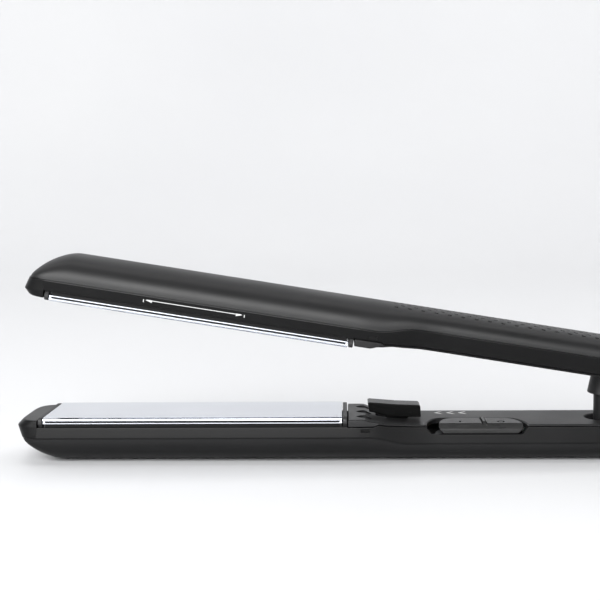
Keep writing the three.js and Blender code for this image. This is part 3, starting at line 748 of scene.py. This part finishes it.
def side_walls(arm):
    rows = []
    step = seam_step(arm)

    def add(u, half, base, top, inset=0.0):
        rim_half = half - RIM_DRAFT * (base - top) / (SEAM_PLATES - RIM_PLATES)
        side = [
            (rim_half - 0.3, top),
            (rim_half - 0.09, top + 0.09),
            (rim_half, top + 0.3),
            (half, base - 0.45),
            (half - 0.1 * step, base - 0.38),
            (half - 0.65 * step, base - 0.05),
            (half - step, base),
        ]
        rows.append([(u, v, w) for v, w in mirrored([(v - inset, w) for v, w in side])])

    def straight(u, inset=0.0):
        half = straight_half(u) * nose_share(u, NOSE_U)
        add(u, half, seam(u) - SEAM_GAP / 2, rim(u), inset)

    for u, inset in ((-3.4, 0.8), (-2.4, 0.05), (-1, 0), (1, 0), (4, 0)):
        straight(u, inset)
    for u in span(CROWN_FULL_U, PLATE_ROOM_END_U - 0.1, 20):
        straight(u)
    for u in span(PLATE_ROOM_END_U + 0.1, WAIST[1], 44) + span(150, 258, 28):
        straight(u)
    for u in (262, 267, 272, RIM_TAIL_U - 0.2, RIM_TAIL_U + 0.2):
        straight(u)
    for u, x in tail_places(8, 5, TAIL_U):
        width, _ = tail_shares(x)
        add(u, straight_half(u) * width + 0.01, seam(u) - SEAM_GAP / 2, rim(u))
    walls = loft_piece(arm.name + "_housing", rows)
    cavity_rows = []
    handle = [*span(114, 146, 16), *span(160, 277, 8), TAIL_U - 2]
    for u in [BUMPER_BACK_U, *span(2, PLATE_ROOM_END_U, 12), *handle]:
        half = straight_half(u) * nose_share(u, NOSE_U) - wall_thickness(u)
        half *= 0.9 if u > 280 else 1
        cavity_rows.append([(u, v, w) for v, w in ((half, -5), (half, 20), (-half, 20), (-half, -5))])
    return combine(walls, [loft_piece("cavity", cavity_rows)])


def snap_slots():
    """One slot in each side, through the housing's wall and the cover's edge."""
    slots = []
    for side in (-1, 1):
        slots.append(block("slot", SNAP_SLOT_U, [side * v for v in SNAP_SLOT_V], SNAP_SLOT_W))
    return slots


SLIDER_ROOM = (140.9, 177.6)
SLIDER_INNER_V = 1.4
SLIDER_FLOOR = 6.9
SLIDER_REACH = (6.4, 12.9)
SLIDER_CHAMFER = 0.4
SLANT = 2


def edge_outline(u_span, v_span, reach):
    """The plan of a slider on the near edge: quarter-ellipse ends, open towards the side."""
    u0, u1 = u_span
    v_inner, v_outer = v_span
    reach_u, reach_v = reach
    turns = span(math.pi, 1.5 * math.pi, 16)
    side = [(math.cos(a) * reach_u, v_inner + reach_v * (1 + math.sin(a))) for a in turns]
    left = [(u0 + reach_u + du, v) for du, v in side]
    right = [(u1 - reach_u - du, v) for du, v in reversed(side)]
    return [(u0, v_outer)] + left + right + [(u1, v_outer)]


def slanted_corners(u_span, floor):
    """Wedges that slant the two lower corners of the slider, or of its room, above this floor."""
    wedges = []
    for end, inwards in zip(u_span, (1, -1)):
        outside, inside = end - inwards, end + inwards * (SLANT + 1)
        corner = [(outside, floor - SLANT - 1), (inside, floor + 1), (outside, floor + 1)]
        wedges.append(prism("wedge", corner, -1, 21, "v"))
    return wedges


def slider_room():
    """The slider's room, with a chamfer where it meets the cover's face."""
    u0, u1 = SLIDER_ROOM
    rows = []
    chamfer = SLIDER_CHAMFER
    for w, grow in ((-2, chamfer), (COVER_FACE, chamfer), (COVER_FACE + chamfer, 0), (SLIDER_FLOOR, 0)):
        reach = [r + grow for r in SLIDER_REACH]
        outline = edge_outline((u0 - grow, u1 + grow), (SLIDER_INNER_V - grow, 20), reach)
        rows.append([(u, v, w) for u, v in outline])
    return combine(loft_piece("slider_room", rows), slanted_corners(SLIDER_ROOM, SLIDER_FLOOR))


def hinge_parts(arm):
    """The lower arm's barrel on its riser and web, or the upper arm's two ears on their risers."""
    centre = (HINGE_U, 0)
    front = HINGE_U - BARREL_RADIUS
    if arm is LOWER:
        across = (-BARREL_HALF, BARREL_HALF)
        barrel = disc("barrel", BARREL_RADIUS, *across, centre, "v")
        riser = block("riser", (front, RISER_END_U), across, (0, 10))
        web = block("web", (front, RISER_END_U), (-13.4, 13.4), (9.2, SEAM_HANDLE - 0.2))
        return [barrel, riser, web]
    parts = []
    for side in (-1, 1):
        edges = sorted(side * v for v in EAR_SPAN)
        parts.append(disc("ear", BARREL_RADIUS, *edges, centre, "v"))
        parts.append(block("riser", (front, HINGE_U + BARREL_RADIUS), edges, (0, 9.5)))
    return parts


def inner_housing(arm):
    walls = side_walls(arm)
    centre = (HINGE_U, 0)
    if arm is LOWER:
        rooms = [disc("room", EAR_ROOM_RADIUS, 7.4 * s, 18 * s, centre, "v") for s in (-1, 1)]
        combine(walls, rooms)
    combine(walls, [bumper()] + hinge_parts(arm), "UNION")
    tools = snap_slots() + [disc("bore", PIN_BORE, -20, 20, centre, "v")]
    if arm is LOWER:
        tools += [slider_room()] + gland_tools()
    else:
        tools += [disc("counterbore", PIN_COUNTERBORE, 13.4 * s, 18 * s, centre, "v") for s in (-1, 1)]
    combine(walls, tools)
    return finish_piece(walls, arm, "housing", arm.body, [arm.name + "_inner_housing"])


# ----------------------------------------
# Handle cover. Its holes and pockets are cut along w.
VENT_VS = (-10, 0, 10)
VENT_START_U, VENT_LENGTH, VENT_HALF = 115.2, 6, 2.6
STEM_SLOT_U, STEM_SLOT_HALF = (122.6, 134.9), 2.2
POCKET_U, POCKET_HALF = (115.2, 141.5), 5.6
LEDGE_EDGE_U, LEDGE_HALF, LEDGE_BACK = 117.3, 3, 2.15
SCREW_US = (232, 250)
SCREW_HEAD, SCREW_SHANK, SCREW_SEAT = 3.2, 1.7, 4.7
POST_U, POST_HOLE = 208, 7.2
CUP_U, CUP_HOLE = 207.8, 6.6


def vent_outline(v):
    """A leaf with its two tips along the arm."""
    side = []
    for t in span(0, 1, 14):
        side.append((VENT_START_U + VENT_LENGTH * t, VENT_HALF * math.sin(math.pi * t) ** 0.8))
    return [(u, v + half) for u, half in side[:-1]] + [(u, v - half) for u, half in reversed(side[1:])]


def handle_cover(arm):
    rows = []
    front = [(COVER_START_U, 0.35), (COVER_START_U + 0.1, 0.1), (COVER_START_U + 0.35, 0)]
    rest = span(113.4, 127, 24) + span(128, WAIST[1], 14) + span(150, COVER_END_U, 26)
    for u, sink in front + [(u, 0) for u in rest]:
        half = straight_half(u) - RIM_DRAFT
        inner = straight_half(u) - wall_thickness(u) - GAP
        face = cover_face(u) + sink
        side = [
            (half - 0.62, face),
            (half - 0.34, face + 0.07),
            (half - 0.14, face + 0.24),
            (half - 0.05, face + 0.5),
            (half, cover_edge(u) - 0.12),
            (half - 0.12, cover_edge(u)),
            (inner, cover_edge(u) + 0.03),
            (inner, cover_edge(u) + 1.3),
        ]
        rows.append([(u, v, w) for v, w in mirrored(side)])
    cover = loft_piece(arm.name + "_cover", rows)
    tools = snap_slots()
    for u in SCREW_US:
        tools.append(disc("screw_head", SCREW_HEAD, 2, SCREW_SEAT, (u, 0), "w"))
        tools.append(disc("screw_shank", SCREW_SHANK, 2, 7, (u, 0), "w", 32))
    if arm is LOWER:
        tools += [prism("vent", vent_outline(v), -1, 8) for v in VENT_VS]
        slot = rounded_profile(box_outline(*STEM_SLOT_U, STEM_SLOT_HALF), 1)
        tools.append(prism("stem_slot", slot, 0, 9))
        tools.append(guide_hole(POST_HOLE, POST_U))
        tools.append(slider_room())
    else:
        pocket = prism("pocket", rounded_profile(box_outline(*POCKET_U, POCKET_HALF), 0.8), 0, 9)
        ledge = block("ledge", (114, LEDGE_EDGE_U), (-LEDGE_HALF, LEDGE_HALF), (-1, LEDGE_BACK))
        tools.append(combine(pocket, [ledge]))
        tools.append(guide_hole(CUP_HOLE, CUP_U))
    combine(cover, tools)
    return finish_piece(cover, arm, "cover", arm.body, [arm.name + "_handle_cover"])


def guide_hole(radius, u):
    """A chamfered round hole through the cover."""
    chamfer = 0.35
    wide = radius + chamfer
    profile = [(0, 2), (wide, 2), (wide, COVER_FACE), (radius, COVER_FACE + chamfer), (radius, 7), (0, 7)]
    return turned("guide_hole", profile, (u, 0), "w", 96)


# ----------------------------------------
# Plate with black strips of painted shade in the gaps beside it, end caps and cushions. EDGE_GROOVE is (v beyond
# the plate's half-width, w).
PLATE_EDGE = 1.05
PLATE_THICKNESS = 1.2
EDGE_GROOVE = [
    (0, 1.12), (-0.45, 1.16), (-0.45, 1.82), (-0.04, 1.86), (0, 1.92), (0, 2.2), (-0.1, 2.3),
    (-1, 2.3),
]
# Black strips of painted shade in the gaps beside the plate: each is (v in from the plate's edge, lowest w,
# highest w), and all reach in to the same depth.
SHADE_STRIP_LEVELS = ((0.2, 1.2, 1.78), (0.62, 2.25, 3.9))
SHADE_STRIP_DEPTH = 0.95
CAP_HALF = 16.2
CAP_FLANGE = 2.4
CAP_LENGTH = 1.6
CUSHION_SPANS = {"front": (9, 23), "rear": (87, 101)}
CUSHION_HALF = 12
CUSHION_W = (4.8, 6.3)


def inset_section(u, outline, inset, half, face_depth):
    """A cross section at u, drawn in a little at its sides and at its face."""
    share = 1 - inset / half
    return [(u, v * share, w + (inset if w < face_depth else 0)) for v, w in outline]


def plate(arm):
    edge = arc((PLATE_HALF - PLATE_EDGE, PLATE_EDGE), PLATE_EDGE, -90, 0, 14)
    side = [(0, 0), (PLATE_HALF * 0.5, 0)] + edge + [(PLATE_HALF + v, w) for v, w in EDGE_GROOVE]
    side += [(PLATE_HALF - 1, 1.4), (PLATE_HALF - 1.4, PLATE_THICKNESS), (0, PLATE_THICKNESS)]
    outline = side + [(-v, w) for v, w in reversed(side[1:-1])]
    chamfer = 0.12
    stations = [(0, chamfer), (chamfer, 0)]
    stations += [(u, 0) for u in span(5, PLATE_LENGTH - 5, 10)]
    stations += [(PLATE_LENGTH - chamfer, 0), (PLATE_LENGTH, chamfer)]
    rows = [inset_section(u, outline, inset, PLATE_HALF, 0.6) for u, inset in stations]
    piece = loft_piece(arm.name + "_mirror_plate", rows)
    return finish_piece(piece, arm, "plate_finish", arm.plate_body, [arm.name + "_plate"])


def plate_gap_shade(arm):
    """Black strips along both sides of a plate, painted shade in the gaps beside its edge: one in the edge's
    groove and one below the edge.
    """
    strips = []
    for side in (1, -1):
        for depth, low, high in SHADE_STRIP_LEVELS:
            v_span = (side * (PLATE_HALF - depth), side * (PLATE_HALF - SHADE_STRIP_DEPTH))
            strips.append(block("seal", (0.8, PLATE_LENGTH - 0.8), v_span, (low, high)))
    shade_strips = combine(strips[0], strips[1:], "UNION")
    shade_strips.name = arm.name + "_plate_seals"
    return finish_piece(shade_strips, arm, "heat_plastic", arm.plate_body, look="housing")


def end_cap(arm, end, u0):
    """The heat-proof cap that closes one end of a plate, from u0 on."""
    u1 = u0 + CAP_LENGTH
    side = [(0, 0.1), (8, 0.1)] + arc((CAP_HALF - 1.5, 1.6), 1.5, -90, 0, 10)
    side += [(CAP_HALF, CAP_FLANGE), (CAP_HALF - 0.5, 3), (CAP_HALF - 1, 4.5)]
    outline = side + [(-v, w) for v, w in reversed(side[1:])]
    edge = ((0, 0.25), (0.07, 0.07), (0.25, 0))
    stations = [(u0 + depth, inset) for depth, inset in edge]
    stations += [(u1 - depth, inset) for depth, inset in reversed(edge)]
    rows = [inset_section(u, outline, inset, CAP_HALF, 2) for u, inset in stations]
    piece = loft_piece(f"{arm.name}_cap_{end}", rows)
    return finish_piece(piece, arm, "heat_plastic", arm.plate_body, [f"{arm.name}_plate_cap_{end}"])


def cushion(arm, end):
    """A silicone cushion with rounded edges, on a mesh of its own."""
    u_span = CUSHION_SPANS[end]
    pad = rounded_pad(f"{arm.name}_{end}_cushion", u_span, CUSHION_HALF, CUSHION_W, 0.3, 1)
    finish_piece(pad, arm, "silicone", arm.body, [f"{arm.name}_cushion_{end}"])
    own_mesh(pad)


# ----------------------------------------
# Lower arm's controls. A profile's corners are (u, w) or (v, w), with their own radius where given.
LOCK_PROFILE = [
    (119.6, -2.95, 0.2), (120.2, -3.3, 0.5), (124, -3.0, 2), (130, -2.5, 3), (138.6, -2.2, 0.5),
    (139.2, -1.8, 0.4), (139.4, 2.3, 0.3), (131, 2.3, 1), (126, 1.55, 1), (123.8, 1.15, 1),
    (121.6, 0.5, 0.5), (120.2, 0.4, 0.4),
]
LOCK_HALF = 4.6
LOCK_EDGE = 0.35
LIP_BOTTOM, LIP_ROOM_U, LIP_ROOM_HALF = -2.6, (118, 121.6), LEDGE_HALF + GAP + 0.1
POINTER_U = 130


def lock_pad():
    """The thumb pad on its stem and foot; between its cheeks a thin lip overhangs at the nose side."""
    outline = rounded_profile(LOCK_PROFILE, 0.3, 6)
    rows = []
    for v, inset in round_ends(-LOCK_HALF, LOCK_HALF, LOCK_EDGE):
        rows.append([(u, v, w) for u, w in inset_outline(outline, inset)])
    pad = loft_piece("lock_pad", rows)
    arrow = [(POINTER_U - 0.8, -5), (POINTER_U, -3.7), (POINTER_U + 0.8, -5)]
    notch = prism("pointer", arrow, -3.4, -2.3)
    under_lip = block("under_lip", LIP_ROOM_U, (-LIP_ROOM_HALF, LIP_ROOM_HALF), (LIP_BOTTOM, 2))
    combine(pad, [notch, under_lip])
    stem = block("stem", (127, 134.5), (-1.8, 1.8), (0.5, 6.6))
    foot = block("foot", (125, 137), (-4.5, 4.5), (6.4, 7.6))
    combine(pad, [stem, foot], "UNION")
    return finish_piece(pad, LOWER, "gloss_black", "lock_slider", ["lock_slider"])


POWER_SPAN = (145.4, 176)
POWER_INNER_V = 2.1
POWER_REACH = (6, 12.3)
POWER_TOP, POWER_BOTTOM = 3.1, 6.6
RIB_U = 162.15
RIB_PROFILE = [(1.75, 4.4), (1.75, 2.55, 0.3), (11.9, 2.55, 0.9), (13.1, 4.4, 0.3)]
BAR_U, RING_U, SYMBOL_V = 153.5, 168.4, 9.4
BAR_HALF, RING_OUTER, RING_INNER = (0.35, 1.3), 1.5, 0.8
POWER_FACE = [
    (12.0, 2.9), (12.3, 3.12), (12.7, 3.24), (13.0, 3.5), (14.2, 4.7), (14.4, 5.05), (14.45, 6.2),
    (14.35, 6.45), (14.1, 6.7), (17, 6.9), (17, 2.5), (12.0, 2.5),
]


def power_slider():
    """The on/off slider: two halves with a raised rib between them, wrapping the near edge."""
    rows = []
    u0, u1 = POWER_SPAN
    for w, inset in round_ends(POWER_TOP, POWER_BOTTOM, 0.3):
        reach = [r - inset for r in POWER_REACH]
        outline = edge_outline((u0 + inset, u1 - inset), (POWER_INNER_V + inset, 16), reach)
        rows.append([(u, v, w) for u, v in outline])
    slider = loft_piece("power_switch_slider", rows)
    face = prism("face", POWER_FACE, u0 - 1, u1 + 1, "u")
    gap = block("rib_gap", (RIB_U - 0.95, RIB_U + 0.95), (0, 13.4), (2, 3.7))
    combine(slider, [face, *slanted_corners(POWER_SPAN, POWER_BOTTOM), gap])
    combine(slider, [power_symbols(POWER_TOP - 1, POWER_TOP + 0.5)])
    rib = prism("rib", rounded_profile(RIB_PROFILE, 0.05, 6), RIB_U - 0.55, RIB_U + 0.45, "u")
    tab = block("tab", (159, 161.6), (6, 8), (6, 8.4))
    combine(slider, [rib, tab], "UNION")
    return finish_piece(slider, LOWER, "switch_grey", "power_slider", ["power_slider"])


def power_symbols(top, bottom):
    """The generic on bar and off ring on the slider's top."""
    half_u, half_v = BAR_HALF
    bar_u, bar_v = (BAR_U - half_u, BAR_U + half_u), (SYMBOL_V - 0.1 - half_v, SYMBOL_V - 0.1 + half_v)
    bar = block("power_symbols", bar_u, bar_v, (top, bottom))
    ring = disc("off_ring", RING_OUTER, top, bottom, (RING_U, SYMBOL_V), "w", 40)
    core = disc("core", RING_INNER, top - 1, bottom + 1, (RING_U, SYMBOL_V), "w", 40)
    return combine(bar, [combine(ring, [core])], "UNION")


def power_symbol_shade():
    """Dark pieces at the bottoms of the sunk symbols: painted shade in the grooves."""
    marks = power_symbols(POWER_TOP + 0.25, POWER_TOP + 0.6)
    return finish_piece(marks, LOWER, "switch_grey", "power_slider", look="gloss_black")


def slider_track():
    """The bed under the power slider, with a slot for the slider's drive tab."""
    u0, u1 = SLIDER_ROOM
    outline = edge_outline((u0 + 3.4, u1 - 3.4), (SLIDER_INNER_V + 0.4, 12.5), (6, 9))
    track = prism("slider_bed", outline, SLIDER_FLOOR + GAP, 8.4)
    combine(track, [block("tab_slot", (154, 163.4), (5.6, 8.4), (6, 9))])
    return finish_piece(track, LOWER, "heat_plastic", LOWER.body, ["power_slider_track"])


def spring_post():
    profile = [(0, 11.7), (5.2, 11.7), (5.2, 10.7), (4.2, 10.7), (3.9, 10.4), (3.9, -9.1)]
    profile += [(3.82, -9.38), (3.6, -9.5), (3.35, -9.5), (3.25, -9.4), (3.25, 10.8), (0, 10.8)]
    post = turned("spring_guide_post", profile, (POST_U, 0), "w")
    return finish_piece(post, LOWER, "satin_black", LOWER.body, ["spring_post"])


# ----------------------------------------
# Upper arm's own pieces. A turned piece's profile is (radius, place on its axis).
def spring_cup():
    profile = [(0, 12.2), (5.9, 12.2), (5.9, 3), (6.0, 0), (6.2, -3.9), (6.17, -4.4), (5.98, -4.6)]
    profile += [(5.4, -4.6), (5.22, -4.45), (5.05, 3), (5.05, 11), (0, 11)]
    cup = turned("spring_guide_cup", profile, (CUP_U, 0), "w", 96)
    return finish_piece(cup, UPPER, "satin_black", UPPER.body, ["spring_cup"])


def hinge_cap(side, label):
    profile = [(0, 13.5), (5.3, 13.5), (5.3, 14.5), (5.22, 14.72), (4.95, 14.9), (3.4, 14.98), (1.5, 14.9)]
    profile += [(1.2, 14.8), (1.0, 14.55), (0, 14.5)]
    profile = [(radius, place * side) for radius, place in profile]
    cap = turned("pivot_cap_" + label, profile, (HINGE_U, 0), "v")
    return finish_piece(cap, UPPER, "gloss_black", UPPER.body, ["hinge_cap_" + label])


# ----------------------------------------
# Lid over the tail, cord gland and return spring
LID_U, LID_HALF, LID_W = (276.9, 280.1), 12.2, (3.4, 3.9)
RIDGES, RIDGE_PITCH, RIDGE_DEPTH = 5, 1.5, 0.4
COIL_TURNS, COIL_RADIUS, WIRE_RADIUS = 9, 2.2, 0.45
COIL_BOTTOM, COIL_TOP = 10.2, -19.4
COIL_LEAN = 1.4


def tail_lid():
    """The lower arm's closed top behind the hinge, over the cord's contacts."""
    lid = rounded_pad("tail_lid", LID_U, LID_HALF, LID_W, 0.15, 1)
    return finish_piece(lid, LOWER, "housing", LOWER.body)


def cord_gland():
    profile = [(3.5, 280.3), (5.8, 280.3), (5.8, 282.2), (5, 282.2), (5, 284.8), (6.3, 284.8)]
    profile += [(6.55, 285.0), (6.6, 285.3), (6.6, 286.2), (6.45, 286.55), (5.9, 287.1)]
    for k in range(RIDGES):
        at = 287.6 + RIDGE_PITCH * k
        radius = 5.55 - 0.14 * k
        groove = radius - RIDGE_DEPTH
        profile += [(radius, at), (radius, at + 0.75), (groove, at + 0.95), (groove, at + 1.3)]
    profile += [(4.85, 295.3), (4.75, 295.75), (4.5, GLAND_END_U), (3.75, GLAND_END_U), (3.5, 295.8)]
    gland = turned("swivel_gland", profile, (0, GLAND_W), "u", 96)
    return finish_piece(gland, LOWER, "satin_black", "cord_swivel", ["cord_gland"])


def return_spring():
    """The coil between the post's floor and the cup's ceiling, on a mesh of its own."""
    rows = []
    steps, sides = COIL_TURNS * 28, 10
    for k in range(steps + 1):
        t = k / steps
        angle = 2 * math.pi * COIL_TURNS * t
        centre = Vector((POST_U + COIL_LEAN * t**4, 0, mix(COIL_BOTTOM, COIL_TOP, t)))
        out = Vector((math.cos(angle), math.sin(angle), 0))
        ring = []
        for j in range(sides):
            turn = 2 * math.pi * j / sides
            rise = Vector((0, 0, WIRE_RADIUS * math.sin(turn)))
            ring.append(centre + out * (COIL_RADIUS + WIRE_RADIUS * math.cos(turn)) + rise)
        rows.append(ring)
    coil = loft_piece("coil_spring", rows)
    finish_piece(coil, LOWER, "steel", LOWER.body, ["return_spring"])
    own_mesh(coil)


# ----------------------------------------
# Printed marks: generic, no lettering
INK_SUNK, INK_PROUD = -0.05, 0.03
ARROW_U, ARROW_W = (34.5, 71.5), 5.975
CHEVRON_U, CHEVRON_PITCH, CHEVRON_COUNT, CHEVRON_V = 145.2, 4.6, 3, -9


def size_arrow():
    """A double-headed arrow printed on the upper housing's near side, beside the plate."""
    low, high = ARROW_U
    shapes = [[(low + 2.5, 5.85), (high - 2.5, 5.85), (high - 2.5, 6.1), (low + 2.5, 6.1)]]
    shapes.append([(low + 0.7, ARROW_W), (low + 3.1, 5.25), (low + 3.1, 6.7)])
    shapes.append([(high - 0.7, ARROW_W), (high - 3.1, 6.7), (high - 3.1, 5.25)])
    for at in ARROW_U:
        shapes.append([(at - 0.14, 5.1), (at + 0.14, 5.1), (at + 0.14, 6.85), (at - 0.14, 6.85)])

    def on_side(u, w, lift):
        half = HALF_PLATES - RIM_DRAFT * (SEAM_PLATES - w) / (SEAM_PLATES - RIM_PLATES)
        return (u, UPPER.near * (half + lift), w)

    arrow = ink("size_arrow", shapes, on_side)
    return finish_piece(arrow, UPPER, "housing", UPPER.body, look="print")


def lock_chevrons():
    """Three chevrons on the handle cover that point the way the lock slides."""
    corners = ((0, 0), (2.2, -2.2), (3.2, -2.2), (1, 0), (3.2, 2.2), (2.2, 2.2))
    shapes = []
    for k in range(CHEVRON_COUNT):
        tip = CHEVRON_U + CHEVRON_PITCH * k
        shapes.append([(tip + du, CHEVRON_V + dv) for du, dv in corners])

    def on_cover(u, v, lift):
        return (u, v, cover_face(u) - lift)

    marks = ink("lock_chevrons", shapes, on_cover)
    return finish_piece(marks, LOWER, "cover", LOWER.body, look="print")


# ----------------------------------------
# Assembly
for each in (LOWER, UPPER):
    outer_shell(each)
    grip_dimple_shade(each)
    inner_housing(each)
    handle_cover(each)
    plate(each)
    plate_gap_shade(each)
    for end in CUSHION_SPANS:
        cushion(each, end)
    end_cap(each, "front", -CAP_LENGTH - GAP)
    end_cap(each, "rear", PLATE_LENGTH + GAP)
lock_pad()
power_slider()
power_symbol_shade()
slider_track()
spring_post()
spring_cup()
hinge_cap(-1, "left")
hinge_cap(1, "right")
tail_lid()
cord_gland()
return_spring()
size_arrow()
lock_chevrons()

# ----------------------------------------
# Studio, in metres: a round pale floor that curves up all round, soft lights and the camera
FLOOR_RADII = (0.02, 0.3, 0.6, 0.9)
FLOOR_RISE = 1.2
WALL_HEIGHTS = (1.5, 2.0, 2.5, 3.0)
CAMERA_ANGLES = (-2.161, 5.284, -0.596)  # yaw, pitch and roll in degrees
CAMERA_LENS = 70.8
CAMERA_FROM_PLATE = (0.11115, -0.44019)
CAMERA_OVER_HINGE = 0.08216


def studio_backdrop():
    """A round pale floor that curves up into a wall all the way round."""
    flat, rise = FLOOR_RADII[-1], FLOOR_RISE
    profile = [(r, 0.0) for r in FLOOR_RADII]
    for a in span(0, math.pi / 2, 16)[1:]:
        profile.append((flat + rise * math.sin(a), rise - rise * math.cos(a)))
    profile += [(flat + rise, z) for z in WALL_HEIGHTS]
    turns = span(0, 2 * math.pi, 96)[:-1]
    rows = []
    for radius, z in profile:
        rows.append([(radius * math.cos(a), radius * math.sin(a), z) for a in turns])
    vertices, faces = skin(rows, caps=False)
    floor = raw_piece("studio_floor", vertices, faces + [tuple(range(len(rows[0])))])
    for polygon in floor.data.polygons:
        polygon.use_smooth = True
    floor.data.materials.append(studio_floor())


def area_light(name, place, target, size, power, in_reflections=True):
    data = bpy.data.lights.new(name, "AREA")
    data.shape = "RECTANGLE"
    data.size, data.size_y = size
    data.energy = power
    light = bpy.data.objects.new(name, data)
    light.visible_glossy = in_reflections
    light.location = place
    light.rotation_euler = (Vector(target) - Vector(place)).to_track_quat("-Z", "Y").to_euler()
    bpy.context.scene.collection.objects.link(light)


def studio_camera():
    yaw, pitch, roll = (math.radians(a) for a in CAMERA_ANGLES)
    ahead = math.cos(pitch)
    forward = Vector((math.sin(yaw) * ahead, math.cos(yaw) * ahead, -math.sin(pitch)))
    level = Vector((math.cos(yaw), -math.sin(yaw), 0))
    up = level.cross(forward)
    right = level * math.cos(roll) + up * math.sin(roll)
    top = up * math.cos(roll) - level * math.sin(roll)
    data = bpy.data.cameras.new("camera")
    data.lens = CAMERA_LENS
    data.sensor_width = 36
    camera = bpy.data.objects.new("camera", data)
    turn = Matrix((right, top, -forward)).transposed().to_4x4()
    along, across = CAMERA_FROM_PLATE
    place = Vector((plate_low.x + along, across, hinge.z + CAMERA_OVER_HINGE))
    camera.matrix_world = Matrix.Translation(place) @ turn
    bpy.context.scene.collection.objects.link(camera)
    bpy.context.scene.camera = camera


def studio_world():
    world = bpy.data.worlds.new("studio")
    world.use_nodes = True
    background = world.node_tree.nodes["Background"]
    background.inputs["Color"].default_value = (0.98, 0.99, 1.0, 1)
    background.inputs["Strength"].default_value = 0.14
    bpy.context.scene.world = world


studio_backdrop()
area_light("key", (-0.5, -1.4, 0.78), (-0.05, 0, 0.03), (1.6, 0.9), 64)
area_light("wash", (0.0, 0.0, 2.2), (0, 0.1, 0), (1.4, 1.0), 22, False)
area_light("backdrop", (0.0, 0.7, 2.0), (0, 2.1, 0.35), (3.0, 0.8), 30)
bpy.context.scene.view_settings.view_transform = "Standard"
studio_camera()
studio_world()
